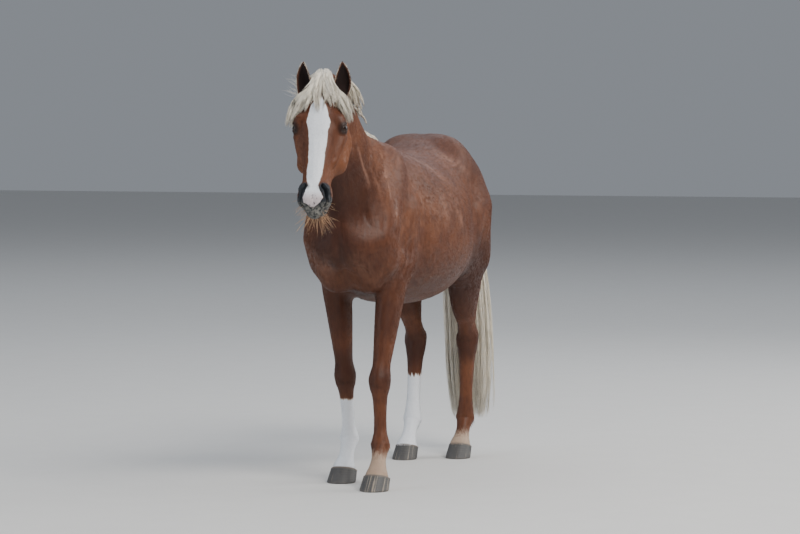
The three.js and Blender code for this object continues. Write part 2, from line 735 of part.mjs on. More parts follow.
// A leg's rings may reach a little farther than its own thickness, into the muscles it grows from.
const LEG_REACH = 1.5;
function legTube(name, level) {
  const rows = legRows(LEGS[name], LEG_PROFILES[name.slice(0, 4)]);
  const limit = (ring, angle) => {
    const [forward, backward, side] = rows[ring].slice(3);
    const deep = Math.cos(angle) / (Math.cos(angle) > 0 ? forward : backward);
    return LEG_REACH / Math.hypot(deep, Math.sin(angle) / side);
  };
  const points = rows.map((row) => row.slice(0, 3));
  const space = legSpace(name.slice(0, 4), name.endsWith("left") ? 1 : -1, level);
  return tubeOf(bodyForm, points, FORWARD, LEG_SIDES, limit, level).intersect(space);
}
const largest = (shape) => shape.decompose().reduce((a, b) => (a.volume() > b.volume() ? a : b));
const headSkin = meshOf(bodyForm, HEAD_GRID, GAP);

function eyeBall(side, grow) {
  const ball = new THREE.SphereGeometry(EYE_RADIUS + grow, 12, 7);
  ball.translate(...fromHead([EYE[0] * side, EYE[1], EYE[2]]));
  return solidOf(ball);
}
const SIDES = [["left", 1], ["right", -1]];
let head = meshOf(bodyForm, HEAD_GRID).intersect(within([HEAD_CUT]));
for (const [name, side] of SIDES) {
  head = head.subtract(eyeBall(side, GAP));
  place(`eye_${name}`, eyeBall(side, 0), EYE_GLOSS());
  place(`ear_${name}`, earSolid(side).subtract(headSkin), COAT());
}
place("head", head, COAT());

const back = ([point, normal]) => [point, normal.map((x) => -x)];
place("neck", neckTube(0).intersect(within([back(HEAD_CUT)], -GAP)).intersect(within([NECK_CUT])), COAT());

let trunk = trunkTube(0).intersect(within([back(NECK_CUT)], -GAP));
for (const [name, joints] of Object.entries(LEGS)) {
  const size = HOOF[name.slice(0, 4)];
  const [point, normal] = coronet(joints.at(-1), size);
  place(name, legTube(name, 0).intersect(halfSpace(add(point, normal, GAP), normal)), COAT());
  place(name.replace(/(fore|hind)leg/, "hoof_$1"), hoof(joints.at(-1), size), HORN());
  trunk = trunk.subtract(legTube(name, GAP));
}
place("trunk", largest(trunk), COAT());

const trunkSkin = trunkTube(GAP);
const tail = tubeOf(tailLoft.form, every(6, tailLoft.points), tailLoft.facing, TAIL_SIDES, () => 200);
place("tail", largest(tail.subtract(trunkSkin)), CREAM_HAIR());

const rooms = [1, -1].flatMap((side) => [earSpace(side), eyeBall(side, HAIR_ROOM)]);
const headPart = headSkin.intersect(within([HEAD_CUT], GAP));
const neckPart = neckTube(GAP).intersect(within([NECK_CUT], GAP)).intersect(within([back(HEAD_CUT)]));
const trunkPart = trunkSkin.intersect(within([back(NECK_CUT)]));
const flesh = [headPart, neckPart, trunkPart, ...rooms];

const MANE_SHARES = [-1, -0.75, -0.45, -0.15, 0.15, 0.45, 0.75, 1]; // across the mane
const MANE_ROOT = 0.6; // how deep the rings start, to be cut off flush with the neck
const NECK_LENGTH = 640;
const MANE_REACH = 420;
function maneRing([share, right, left, depth]) {
  const points = neckLoft.points;
  const place = clamp(share, 0, 1) * (points.length - 1);
  const i = Math.min(Math.floor(place), points.length - 2);
  const tangent = unit(add(points[i + 1], points[i], -1));
  const beyond = Math.max(share - 1, 0) * NECK_LENGTH;
  const centre = add(mixAll(points[i], points[i + 1], place - i), tangent, beyond);
  const up = unit(add(neckLoft.facing, tangent, -dot(neckLoft.facing, tangent)));
  const side = cross(tangent, up);
  const corner = (across, deep) => {
    const angle = rad(across * (across > 0 ? right : left));
    const direction = add(add([0, 0, 0], up, Math.cos(angle)), side, Math.sin(angle));
    return outward(bodyForm, centre, direction, MANE_REACH, deep);
  };
  const rise = (across) => depth * (1.2 * (1 - across ** 4) - 0.2); // less at the edges
  const outer = MANE_SHARES.map((across) => corner(across, (far) => far + rise(across)));
  const inner = [0.8, 0, -0.8].map((across) => corner(across, (far) => far * MANE_ROOT));
  return [...outer, ...inner];
}
const maneRings = every(3, sampled(MANE)).map(maneRing);
const middle = (ring) => ring.reduce((a, b) => add(a, b)).map((x) => x / ring.length);
const mane = closedRings(maneRings, middle(maneRings[0]), middle(maneRings.at(-1)));
place("mane", largest(flesh.reduce((hair, part) => hair.subtract(part), mane)), CREAM_HAIR());

const LOCK_SIDES = 7;
const forelock = FORELOCK.map((rows) => {
  const lock = loft([0, 0, 1], rows);
  const form = (p) => lock.form(toHead(p));
  return tubeOf(form, every(6, lock.points).map(fromHead), HEAD_AXES[2], LOCK_SIDES, () => 100);
}).reduce((a, b) => a.add(b));
const clear = [...flesh, mane].reduce((hair, part) => hair.subtract(part), forelock);
place("forelock", largest(clear), CREAM_HAIR());

export default horse;
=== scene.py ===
"""A life-size standing horse: one skin, a short coat, long pale hair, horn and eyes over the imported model."""

import math
from functools import reduce
from types import SimpleNamespace

import bpy
import numpy as np
from bpy.props import FloatProperty, FloatVectorProperty, IntProperty, PointerProperty
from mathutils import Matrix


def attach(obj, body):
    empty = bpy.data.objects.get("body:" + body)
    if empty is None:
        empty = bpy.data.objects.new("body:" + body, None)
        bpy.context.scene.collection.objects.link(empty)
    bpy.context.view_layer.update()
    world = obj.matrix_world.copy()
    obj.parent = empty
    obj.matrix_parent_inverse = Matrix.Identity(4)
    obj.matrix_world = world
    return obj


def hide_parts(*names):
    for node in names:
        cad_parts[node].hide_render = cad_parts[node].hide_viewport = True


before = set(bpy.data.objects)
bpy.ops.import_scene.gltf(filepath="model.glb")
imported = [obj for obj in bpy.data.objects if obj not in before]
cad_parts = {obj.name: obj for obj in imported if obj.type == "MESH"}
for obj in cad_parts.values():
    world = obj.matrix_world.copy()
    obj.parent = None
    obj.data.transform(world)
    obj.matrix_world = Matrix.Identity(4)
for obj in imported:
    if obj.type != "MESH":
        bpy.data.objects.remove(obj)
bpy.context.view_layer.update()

bl_info = {
    "name": "Standing horse",
    "version": (1, 0, 0),
    "blender": (4, 5, 0),
    "location": "3D View > Sidebar > Horse",
    "description": "Makes the skin, coat, hair, hooves and eyes of a life-size horse",
    "category": "Object",
}

# Forms are in millimetres about the point between the forelegs: +X is the horse's left, +Y its
# rear, +Z up. MIDDLE is that point's way to the middle of the whole horse.
MIDDLE = np.array([0, 257.1, 0])
EYE_RADIUS = 22
COAT_DEPTH = 3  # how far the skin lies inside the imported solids
TINY = 1e-9  # keeps what is divided by from being 0


# ---- Forms: each takes points (n, 3) and gives distances to its surface, negative inside ----
def unit(v):
    v = np.asarray(v, float)
    return v / np.maximum(np.linalg.norm(v, axis=-1, keepdims=True), TINY)


def dot(a, b):
    return (a * b).sum(axis=-1)


def smooth_min(a, b, k):
    """The lesser of a and b, rounded where they are within k of each other."""
    h = np.maximum(k - np.abs(a - b), 0) / k
    return np.minimum(a, b) - h * h * k / 4


def smooth_step(x):
    """0 below 0, 1 above 1 and smooth between."""
    x = np.clip(x, 0, 1)
    return x * x * (3 - 2 * x)


STEPS = 6  # samples for each row of a smooth curve


def sampled(rows):
    """Rows of a smooth curve through the given rows."""
    rows = np.asarray(rows, float)
    out = []
    for i in range(len(rows) - 1):
        before, here, there, beyond = (rows[min(max(i + k, 0), len(rows) - 1)] for k in (-1, 0, 1, 2))
        m1, m2, d = (there - before) / 2, (beyond - here) / 2, there - here
        for t in np.arange(STEPS) / STEPS:
            out.append(here + t * (m1 + t * (3 * d - 2 * m1 - m2 + t * (m1 + m2 - 2 * d))))
    return np.array(out + [rows[-1]])


ROUND = 2  # the squareness of an ellipse
ROW_LENGTH = 7


class Loft:
    """Sections along a bent axis: rows of a point, the radius towards `facing`, the one away from
    it, the half-width and, if it isn't 2, the squareness."""

    def __init__(self, facing, rows):
        self.samples = sampled([list(row) + [ROUND] * (ROW_LENGTH - len(row)) for row in rows])
        self.points = self.samples[:, :3]
        self.last = len(self.points) - 1
        index = np.arange(self.last + 1)
        ahead, behind = np.minimum(index + 1, self.last), np.maximum(index - 1, 0)
        self.tangents = unit(self.points[ahead] - self.points[behind])
        facing = np.array(facing, float)
        self.ups = unit(facing - self.tangents * (self.tangents @ facing)[:, None])
        reach = self.samples[:, 3:6].max()
        self.low, self.high = self.points.min(0) - reach, self.points.max(0) + reach

    def nearest_sample(self, p):
        middle = p.mean(0)
        c = (self.points - middle).astype(np.float32)
        q = (p - middle).astype(np.float32)
        return ((c * c).sum(1) - 2 * q @ c.T).argmin(1)

    def nearest(self, p):
        """For each point: the section it lies at, by interpolation, and where on that section."""
        c = self.points
        i = self.nearest_sample(p)
        along = dot(p - c[i], self.tangents[i])
        j = np.clip(i + np.sign(along).astype(int), 0, self.last)
        length = np.linalg.norm(c[j] - c[i], axis=1)
        t = np.minimum(np.abs(along) / np.maximum(length, 1e-6), 1) * (j != i)
        blend = lambda rows: rows[i] + (rows[j] - rows[i]) * t[:, None]
        s, up, tangent = blend(self.samples), blend(self.ups), blend(self.tangents)
        v = p - s[:, :3]
        over = np.where(j == i, np.abs(dot(v, tangent)), 0)
        return s, dot(v, up), dot(v, np.cross(tangent, up)), over, (i + (j - i) * t) / self.last

    def __call__(self, p):
        s, u, w, over, _ = self.nearest(p)
        toward, away, side, power = s[:, 3:].T
        high = np.where(u > 0, toward, away)
        cap = np.minimum(np.minimum(toward, away), side)
        a, b, c = np.abs(u) / high, np.abs(w) / side, over / cap
        q = (a**power + b**power + c**power) ** (1 / power) + TINY
        less = power - 1
        slope = np.sqrt((a**less / high) ** 2 + (b**less / side) ** 2 + (c**less / cap) ** 2)
        return (q - 1) / np.maximum(slope / q**less, 1e-4)

    def section(self, share):
        """The section, its up and its tangent at shares of the axis."""
        return [sampled_at(rows, share) for rows in (self.samples, self.ups, self.tangents)]

    def place(self, p):
        """How far along the axis each point lies, from 0 to 1, and the angle about it."""
        _, u, w, _, along = self.nearest(p)
        return along, np.arctan2(w, u)


def muscle(a, b, ra, rb):
    """A round bar from a to b that tapers from one radius to the other."""
    a, b = np.array(a, float), np.array(b, float)
    ab = b - a

    def form(p):
        t = np.clip((p - a) @ ab / (ab @ ab), 0, 1)
        return np.linalg.norm(p - a - t[:, None] * ab, axis=1) - (ra + (rb - ra) * t)

    form.low = np.minimum(a, b) - max(ra, rb)
    form.high = np.maximum(a, b) + max(ra, rb)
    return form


def mirrored(p):
    """The points with those of the right side moved over to the left."""
    p = np.array(p)
    p[:, 0] = np.abs(p[:, 0])
    return p


def both_sides(form):
    made = lambda p: form(mirrored(p))
    made.low, made.high = form.low.copy(), form.high.copy()
    made.low[0] = -form.high[0]
    return made


FADED_AT = 2.5  # radii from a swelling or ridge where it is taken to end


def swelling(c, r, height):
    """A swelling about c (a hollow if its height is negative), with a radius for each axis."""
    c, r = np.array(c, float), np.array(r, float)
    form = lambda p: height * np.exp(-(((p - c) / r) ** 2).sum(1))
    form.low, form.high = c - FADED_AT * r, c + FADED_AT * r
    return form


def ridge(points, width, height):
    """A soft ridge along a line of points (a groove if its height is negative)."""
    points = np.array(points, float)
    form = lambda p: height * np.exp(-((line_distance(p, points) / width) ** 2))
    reach = FADED_AT * width
    form.low, form.high = points.min(0) - reach, points.max(0) + reach
    return form


def line_distance(p, points):
    points = np.asarray(points, float)
    least = np.full(len(p), 1e9)
    for a, b in zip(points[:-1], points[1:]):
        ab = b - a
        t = np.clip((p - a) @ ab / (ab @ ab), 0, 1)
        least = np.minimum(least, np.linalg.norm(p - a - t[:, None] * ab, axis=1))
    return least


FAR = 1000
BLOCK = 130  # mm, points this near each other are worked out together
BLOCKS = 128  # how many blocks can be numbered along each axis
BOX_MARGIN = 40  # mm about a form's box, beyond its blend, where it is still worked out
CLEAR = 200  # mm from the surface beyond which swellings are left out


def in_blocks(form):
    """Works a form out for neighbouring points together, so that each part can see if it is near."""

    def whole(p):
        out = np.empty(len(p))
        block = np.floor(p / BLOCK).astype(np.int64) + BLOCKS // 2
        key = (block[:, 0] * BLOCKS + block[:, 1]) * BLOCKS + block[:, 2]
        order = np.argsort(key, kind="stable")
        cuts = np.nonzero(np.diff(key[order]))[0] + 1
        for rows in np.split(order, cuts):
            if len(rows):
                out[rows] = form(p[rows])
        return out

    return whole


def blended(forms, swellings=()):
    """Joins [form, blend] pairs smoothly, then pushes the surface out or in by the swellings."""

    def form(p):
        low, high = p.min(0), p.max(0)
        d = np.full(len(p), float(FAR))
        for part, blend in forms:
            margin = blend + BOX_MARGIN
            if (low < part.high + margin).all() and (high > part.low - margin).all():
                near = ((p > part.low - margin) & (p < part.high + margin)).all(1)
                if near.any():
                    d[near] = smooth_min(d[near], part(p[near]), blend)
        if d.min() > CLEAR:
            return d
        for part in swellings:
            if (low < part.high).all() and (high > part.low).all():
                d -= part(p)
        return d

    return form


# ---- Trunk: [how far back, top, bottom, half-width, height of the widest place, squareness] ----
def lengthwise(rows):
    return [
        (0, y, middle, top - middle, middle - bottom, width, squareness)
        for y, top, bottom, width, middle, squareness in rows
    ]


TRUNK = lengthwise(
    [
        (-222, 1120, 900, 84, 1005, 2), (-190, 1215, 850, 134, 1010, 2), (-110, 1325, 795, 168, 1020, 2),
        (0, 1396, 762, 182, 1040, 2), (95, 1420, 748, 196, 1050, 1.9), (200, 1398, 738, 232, 1045, 2),
        (350, 1366, 724, 270, 1030, 2.1), (500, 1364, 714, 284, 1020, 2.15),
        (640, 1386, 722, 280, 1030, 2.15), (760, 1418, 760, 260, 1060, 2.1),
        (870, 1442, 825, 240, 1090, 2.05), (980, 1424, 900, 226, 1110, 2), (1070, 1374, 960, 196, 1130, 2),
        (1130, 1310, 1020, 140, 1145, 2), (1152, 1245, 1085, 64, 1165, 2),
    ]
)
TRUNK_MUSCLES = [
    ((84, 60, 1326), (126, -115, 1085), 62, 74),  # shoulder blade
    ((126, -172, 1012), (128, -105, 925), 62, 64),  # point of the shoulder and upper arm
    ((118, 100, 1120), (122, 74, 890), 88, 64),  # back of the upper arm
    ((60, -196, 985), (74, -118, 850), 74, 56),  # breast
    ((96, 820, 1312), (108, 1000, 1232), 112, 104),  # rump
    ((150, 880, 1090), (152, 865, 930), 106, 84),  # front of the thigh
    ((148, 1000, 1110), (142, 1040, 900), 108, 92),  # outside of the thigh
    ((92, 1082, 1180), (114, 1082, 930), 94, 88),  # buttock
]
TRUNK_SWELLINGS = [
    ((212, 725, 1290), (46, 60, 46), 16),  # point of the hip
    ((262, 765, 1110), (80, 70, 130), -14),  # hollow of the flank
    ((165, -45, 1160), (60, 50, 150), -8),  # groove before the shoulder
    ((205, 165, 1060), (70, 46, 170), -10),  # groove behind the shoulder
    ((0, -262, 960), (16, 60, 100), -13),  # groove down the breast
    ((0, 1210, 1090), (26, 70, 130), -26),  # groove between the buttocks
]
NECK = [
    (0, -40, 1185, 238, 250, 138), (0, -150, 1285, 196, 215, 102), (4, -265, 1385, 168, 176, 82),
    (14, -375, 1475, 146, 146, 74), (24, -465, 1545, 122, 130, 70), (30, -532, 1590, 94, 114, 66),
]
# Finer forms of the trunk and neck that only the skin shows.
TRUNK_LINES = [
    # (points, width, height)
    ([(96, 60, 1372), (128, 20, 1290), (150, -40, 1180), (166, -96, 1090)], 13, 3.5),  # blade's ridge
    ([(104, 118, 1330), (156, 130, 1210), (190, 142, 1090), (186, 140, 990)], 20, -4),  # behind the blade
    ([(92, -100, 1245), (128, -150, 1150), (150, -190, 1060)], 18, -5),  # before the shoulder
    ([(70, -466, 1460), (84, -360, 1330), (92, -262, 1200), (84, -220, 1110)], 19, -6),  # jugular groove
    ([(20, -245, 1020), (52, -238, 930), (92, -190, 862)], 13, -5),  # under the breast muscle
    ([(180, 60, 1010), (188, 30, 940), (170, -20, 880)], 18, -5),  # between shoulder and arm
    ([(186, 110, 930), (196, 128, 860), (170, 120, 800)], 16, -5),  # behind the elbow
    ([(238, 840, 1210), (232, 905, 1080), (214, 925, 960)], 26, -4),  # front of the thigh muscle
    ([(186, 1060, 1190), (190, 1092, 1060), (178, 1108, 930)], 15, -6),  # between the buttock muscles
    ([(248, 700, 960), (214, 780, 860), (182, 828, 800)], 24, 6),  # fold of the flank
]
TRUNK_POINTS = [
    ((0, 560, 716), (30, 260, 30), 3),  # keel of the belly
    ((110, -215, 960), (52, 40, 62), 4),  # breast muscle
    ((186, -118, 1020), (40, 44, 50), 5),  # point of the shoulder
    ((200, 92, 905), (34, 40, 40), 6),  # elbow
    ((60, 90, 1418), (40, 90, 30), -6),  # beside the withers
    ((0, 70, 1432), (20, 110, 40), 5),  # withers
    ((60, 560, 1372), (40, 200, 30), 3),  # loin
    ((214, 940, 1180), (40, 60, 60), 5),  # hip joint
]
RIBS = range(250, 640, 52)  # how far back each rib starts
RIB_HEIGHTS = range(880, 1261, 76)
RIB_LEAN = 0.35  # how far a rib goes back for each mm down
RIB_WIDTH, RIB_RISE = 15, 1.4


# ---- Head, in its own frame: x to the left, y down the face from the poll, z out of the face ----
HEAD_LENGTH = 588
POLL = np.array([39, -596, 1668])
HEAD_PITCH = math.radians(31)
HEAD_YAW = math.radians(10.5)
AHEAD = (math.sin(HEAD_YAW), -math.cos(HEAD_YAW))
HEAD_AXES = np.array(
    [
        (math.cos(HEAD_YAW), math.sin(HEAD_YAW), 0),
        (AHEAD[0] * math.sin(HEAD_PITCH), AHEAD[1] * math.sin(HEAD_PITCH), -math.cos(HEAD_PITCH)),
        (AHEAD[0] * math.cos(HEAD_PITCH), AHEAD[1] * math.cos(HEAD_PITCH), math.sin(HEAD_PITCH)),
    ]
)


def to_head(p):
    return (p - POLL) @ HEAD_AXES.T


def from_head(p):
    return np.asarray(p, float) @ HEAD_AXES + POLL


HEAD = [
    (0, share * (HEAD_LENGTH - 34), middle, top - middle, middle - bottom, width, squareness)
    for share, top, bottom, width, middle, squareness in [
        (0.0, -8, -130, 58, -70, 2.1), (0.1, 12, -190, 76, -76, 2.2), (0.22, 19, -240, 92, -84, 2.4),
        (0.34, 14, -262, 97, -96, 2.5), (0.46, 5, -244, 90, -100, 2.5), (0.58, -1, -202, 73, -90, 2.5),
        (0.7, -5, -170, 60, -80, 2.5), (0.8, -8, -150, 56, -78, 2.5), (0.88, -12, -142, 60, -76, 2.5),
        (0.95, -24, -136, 54, -80, 2.4), (1.0, -48, -116, 34, -84, 2.2),
    ]
]
HEAD_MUSCLES = [
    ((54, 180, -186), (60, 304, -152), 50, 42),  # cheek
    ((76, 176, -18), (92, 202, -24), 24, 18),  # brow
    ((90, 236, -58), (62, 345, -64), 17, 12),  # facial crest
    ((50, 42, -50), (60, 66, -48), 28, 24),  # root of the ear
    ((44, 484, -46), (40, 520, -62), 24, 22),  # rim of the nostril
]
CHIN = ((-16, 530, -122), (16, 530, -122), 26, 26)
EYE = np.array([87, 0.357 * HEAD_LENGTH, -36])
HEAD_SWELLINGS = [
    (EYE, (24, 27, 20), -5),  # about the eye
    ((70, 128, 0), (24, 36, 20), -9),  # hollow above the eye
    ((66, 500, -42), (13, 22, 11), -16),  # nostril
    ((0, 566, -104), (60, 9, 9), -9),  # between the lips
    ((64, 356, -126), (30, 70, 36), -7),  # behind the corner of the mouth
    ((0, 400, -175), (20, 120, 40), -16),  # between the branches of the jaw
]
LID_THICKNESS = 4


# ---- Legs: the joints from the top down, and profiles of [place along the joints, radius forward,
# radius back, half-width], where 1.4 is four tenths of the way from joint 1 to joint 2 ----
FORELEG = [
    (0, 108, 104, 62), (1, 90, 96, 60), (1.15, 80, 83, 56), (1.4, 66, 70, 50), (1.65, 53, 56, 43),
    (1.83, 44, 45, 39), (1.93, 45, 43, 45), (2, 46, 46, 48), (2.12, 42, 44, 44), (2.26, 32, 38, 34),
    (2.5, 26, 35, 29), (2.76, 27, 36, 29), (2.9, 33, 41, 35), (3, 37, 44, 40), (3.18, 33, 40, 36),
    (3.42, 29, 33, 32), (3.68, 33, 34, 37), (3.88, 43, 41, 46), (4, 46, 43, 50), (4.3, 50, 44, 52),
]
HINDLEG = [
    (0, 205, 165, 84), (1, 168, 165, 80), (1.45, 128, 130, 72), (2, 85, 104, 58), (2.35, 62, 81, 47),
    (2.62, 50, 68, 40), (2.82, 48, 70, 42), (2.92, 50, 66, 47), (3, 51, 59, 49), (3.12, 48, 52, 46),
    (3.26, 40, 46, 38), (3.45, 32, 40, 33), (3.7, 29, 38, 31), (3.88, 34, 43, 36), (4, 38, 46, 41),
    (4.18, 33, 41, 36), (4.42, 29, 33, 32), (4.68, 33, 34, 36), (4.88, 42, 40, 44), (5, 45, 42, 48),
    (5.3, 49, 43, 50),
]
LEGS = {
    "foreleg_left": [(132, 30, 900), (122, 6, 800), (108, -96, 437), (122, -130, 176), (131, -206, 52)],
    "foreleg_right": [(-132, 40, 900), (-120, 34, 800), (-100, 74, 440), (-94, 112, 176), (-92, 34, 52)],
    "hindleg_left": [
        (146, 950, 1110), (146, 975, 890), (124, 1045, 690), (107, 1150, 528), (95, 1152, 172),
        (94, 1078, 54),
    ],
    "hindleg_right": [
        (-146, 945, 1110), (-144, 960, 890), (-124, 1005, 690), (-116, 1092, 524), (-116, 1042, 170),
        (-118, 964, 54),
    ],
}
PROFILES = {"fore": FORELEG, "hind": HINDLEG}
FORWARD = np.array([0.0, -1, 0])
# Finer forms of a leg: (line of [place, forward, outward], width, height), in mm from its axis.
# Those marked BOTH lie on its inner side too.
BOTH = True
LEG_LINES = {
    "fore": [
        ([(1.1, 22, 60), (1.4, 16, 52), (1.75, 10, 44)], 10, -4),  # between the forearm's muscles
        ([(1.2, -30, 52), (1.5, -24, 44), (1.8, -18, 38)], 8, -3),
        ([(1.86, 46, 0), (1.98, 50, 0), (2.06, 46, 0)], 16, 4),  # front of the knee
        ([(1.94, -48, -6), (2.03, -50, -6)], 13, 7),  # bone behind the knee
        ([(2.14, 34, 20), (2.1, 32, -20)], 9, -2.5),  # under the knee
        ([(2.24, -6, 34), (2.5, -6, 30), (2.84, -8, 32)], 7, -4.5, BOTH),  # before the tendons
        ([(2.3, -24, 26), (2.55, -24, 24), (2.8, -26, 26)], 4, -2, BOTH),  # between the two tendons
        ([(3.0, -46, 0), (3.12, -44, 0)], 11, 6),  # ergot
        ([(3.0, 10, 40), (3.04, -10, 40)], 14, 3, BOTH),  # sides of the fetlock
        ([(3.5, -34, 0), (3.66, -38, 0)], 9, -5),  # hollow of the pastern
    ],
    "hind": [
        ([(1.6, 20, 74), (2.1, 8, 58), (2.5, 4, 46)], 13, -4),  # muscles of the second thigh
        ([(2.3, -44, 30), (2.6, -34, 26), (2.84, -30, 30)], 11, -9, BOTH),  # before the great tendon
        ([(2.86, -70, 0), (2.93, -68, 0)], 11, 7),  # point of the hock
        ([(2.9, 8, 46), (3.06, 12, 48)], 15, 4),  # sides of the hock
        ([(2.9, 12, -46), (3.08, 18, -48)], 15, 5), ([(3.02, 48, 0), (3.12, 44, 0)], 13, 3),
        ([(3.22, -6, 40), (3.5, -6, 33), (3.84, -8, 34)], 7, -4.5, BOTH),  # before the tendons
        ([(3.3, -26, 28), (3.55, -26, 26), (3.8, -28, 28)], 4, -2),
        ([(4.0, -48, 0), (4.12, -46, 0)], 11, 6),  # ergot
        ([(4.0, 10, 41), (4.04, -10, 41)], 14, 3, BOTH),  # sides of the fetlock
        ([(4.5, -34, 0), (4.66, -38, 0)], 9, -5),
    ],
}


def joint_point(joints, place):
    """A point along the joints and the way that they run there."""
    i = min(int(place), len(joints) - 2)
    a, b = np.array(joints[i], float), np.array(joints[i + 1], float)
    return a + (b - a) * (place - i), unit(b - a)


def leg_kind(name):
    return name[:4]


def leg_rows(name):
    joints = LEGS[name]
    return [(*joint_point(joints, place)[0], *radii) for place, *radii in PROFILES[leg_kind(name)]]


def leg_point(name, place, forward, outward):
    point, tangent = joint_point(LEGS[name], place)
    ahead = unit(FORWARD - tangent * (tangent @ FORWARD))
    side = 1 if name.endswith("left") else -1
    return point + ahead * forward + np.array([side * outward, 0, 0])


TRUNK_LOFT = Loft((0, 0, 1), TRUNK)
NECK_LOFT = Loft((0, 1, 0.2), NECK)
HEAD_LOFT = Loft((0, 0, 1), HEAD)
LEG_LOFTS = {name: Loft(FORWARD, leg_rows(name)) for name in LEGS}

# ---- Ears: leaf-shaped cups standing on the head, in the head's frame, the left one ----
EAR_ROOT, EAR_TIP = np.array([62.0, 70, -47]), np.array([77.0, -52, 35])
EAR_FACING = (0.35, 0.49, 0.8)
EAR_WALL = 4.2
EAR_BOW, EAR_SPREAD = 8, 11
EAR = [
    # share of the length, half-width, depth behind, depth in front, how hollow
    (-0.12, 20, 17, 17, 0), (0.02, 25, 21, 15, 0), (0.16, 28, 23, 8, 0.45), (0.34, 29, 22, 3, 0.9),
    (0.54, 26, 19, 2, 1), (0.74, 19, 14, 2, 0.9), (0.9, 10, 8, 2, 0.5), (0.985, 3, 3, 2, 0),
]


EAR_FRONT, EAR_FRONT_TAPER = 6, 4  # mm: the least depth in front, and what it loses on the way to the tip


def ear_rows():
    axis = unit(EAR_TIP - EAR_ROOT)
    facing = unit(np.array(EAR_FACING) - axis * (axis @ EAR_FACING))
    rows = []
    for share, width, behind, front, _ in EAR:
        bend = math.sin(math.pi * min(max(share, 0), 1))
        x, y, z = EAR_ROOT + (EAR_TIP - EAR_ROOT) * share - facing * EAR_BOW * bend
        deep = max(front, EAR_FRONT - EAR_FRONT_TAPER * max(share, 0))
        rows.append((x + EAR_SPREAD * bend, y, z, deep, behind, width))
    return rows


EAR_LOFT = Loft(EAR_FACING, ear_rows())


CORNERS = np.array([(i & 1, (i >> 1) & 1, i >> 2) for i in range(8)])  # of a cube


def in_head(form, low, high):
    """A form of the head's frame as one of the body's, with its box."""
    made = lambda p: form(to_head(p))
    corners = from_head(np.where(CORNERS, high, low))
    made.low, made.high = corners.min(0), corners.max(0)
    return made


# mm over which each kind of form runs into the rest
BLEND = {"muscle": 64, "neck": 90, "head": 34, "leg": 46, "lids": 12, "ears": 14, "face": 32, "chin": 24}
SHARP = 1

head_form = blended(
    [
        [HEAD_LOFT, SHARP],
        *([both_sides(muscle(*m)), BLEND["face"]] for m in HEAD_MUSCLES),
        [muscle(*CHIN), BLEND["chin"]],
    ],
    [both_sides(swelling(*s)) for s in HEAD_SWELLINGS],
)

# The lids: a thin ball over each eye.
EYE_OUT = unit([0.80, 0.10, 0.59])
EYE_SLANT = np.array([0, 0.874, 0.485])
EYE_ALONG = unit(EYE_SLANT - EYE_OUT * (EYE_OUT @ EYE_SLANT))
EYE_UP = -np.cross(EYE_OUT, EYE_ALONG)
LID_BALL = EYE_RADIUS + LID_THICKNESS
LID_BACK = 1.5  # mm that the lids' ball lies behind the eye's middle


def lid_form(p):
    return np.linalg.norm(mirrored(p) - (EYE - EYE_OUT * LID_BACK), axis=1) - LID_BALL


def ear_form(p, grow):
    return EAR_LOFT(mirrored(p)) - grow


def skin_forms(ear_growth):
    head = in_head(head_form, (-130, -20, -290), (130, 600, 60))
    lids = in_head(lid_form, (-130, 160, -90), (130, 250, 10))
    ears = in_head(lambda p: ear_form(p, ear_growth), (-140, -90, -90), (140, 110, 80))
    return [
        [TRUNK_LOFT, SHARP],
        *([both_sides(muscle(*m)), BLEND["muscle"]] for m in TRUNK_MUSCLES),
        [NECK_LOFT, BLEND["neck"]],
        [head, BLEND["head"]],
        *([loft, BLEND["leg"]] for loft in LEG_LOFTS.values()),
        [lids, BLEND["lids"]],
        [ears, BLEND["ears"]],
    ]


def leg_ridges():
    made = []
    for name in LEGS:
        for line, width, height, *both in LEG_LINES[leg_kind(name)]:
            for side in (1, -1) if both else (1,):
                points = [leg_point(name, place, forward, outward * side) for place, forward, outward in line]
                made.append(ridge(points, width, height))
    return made


def rib_ridges():
    lines = []
    for y in RIBS:
        section = np.abs(TRUNK_LOFT.points[:, 1] - y).argmin()
        _, _, middle, above, below, wide, square = TRUNK_LOFT.samples[section]
        points = []
        for z in RIB_HEIGHTS:
            high = above if z > middle else below
            side = wide * max(1 - abs((z - middle) / high) ** square, 0) ** (1 / square)
            points.append((side, y + (RIB_HEIGHTS[-1] - z) * RIB_LEAN, z))
        lines.append(both_sides(ridge(points, RIB_WIDTH, RIB_RISE)))
    return lines


HOOF = {
    "fore": {"width": 61, "toe": 70, "heel": 56, "high": 68, "low": 36},
    "hind": {"width": 56, "toe": 68, "heel": 54, "high": 70, "low": 38},
}
HOOF_LEAN = 0.72  # how far the wall goes back for each mm up
SOLE_BACK = 30
HOOF_DEPTH = 90
CORONET_ROOM = (90, 110)  # mm across and along that hold one foot
FEET_TOP = 140
CUT_BELOW = 5  # mm under the coronet where a leg ends


def coronet(name):
    """The middle of the upper edge of a hoof, and the way that this edge faces."""
    size = HOOF[leg_kind(name)]
    x, y, _ = LEGS[name][-1]
    normal = unit([0, (size["high"] - size["low"]) / HOOF_DEPTH, 1])
    return np.array([x, y, (size["high"] + size["low"]) / 2]), normal


def cut_at_coronets(form):
    """Ends the legs a little below the tops of the hooves."""

    def cut(p):
        d = form(p)
        for name in LEGS:
            point, normal = coronet(name)
            near = (p[:, 2] < FEET_TOP) & (np.abs(p - point)[:, :2] < CORONET_ROOM).all(1)
            if near.any():
                d[near] = np.maximum(d[near], -(p[near] - point) @ normal - CUT_BELOW)
        return d

    return cut


VALLEY_RELIEF = 2.0  # how much deeper the skin's valleys are than those of the solids


def deepened(points, width, height):
    """A line of the trunk, with a valley deepened."""
    return points, width, height * (VALLEY_RELIEF if height < 0 else 1)


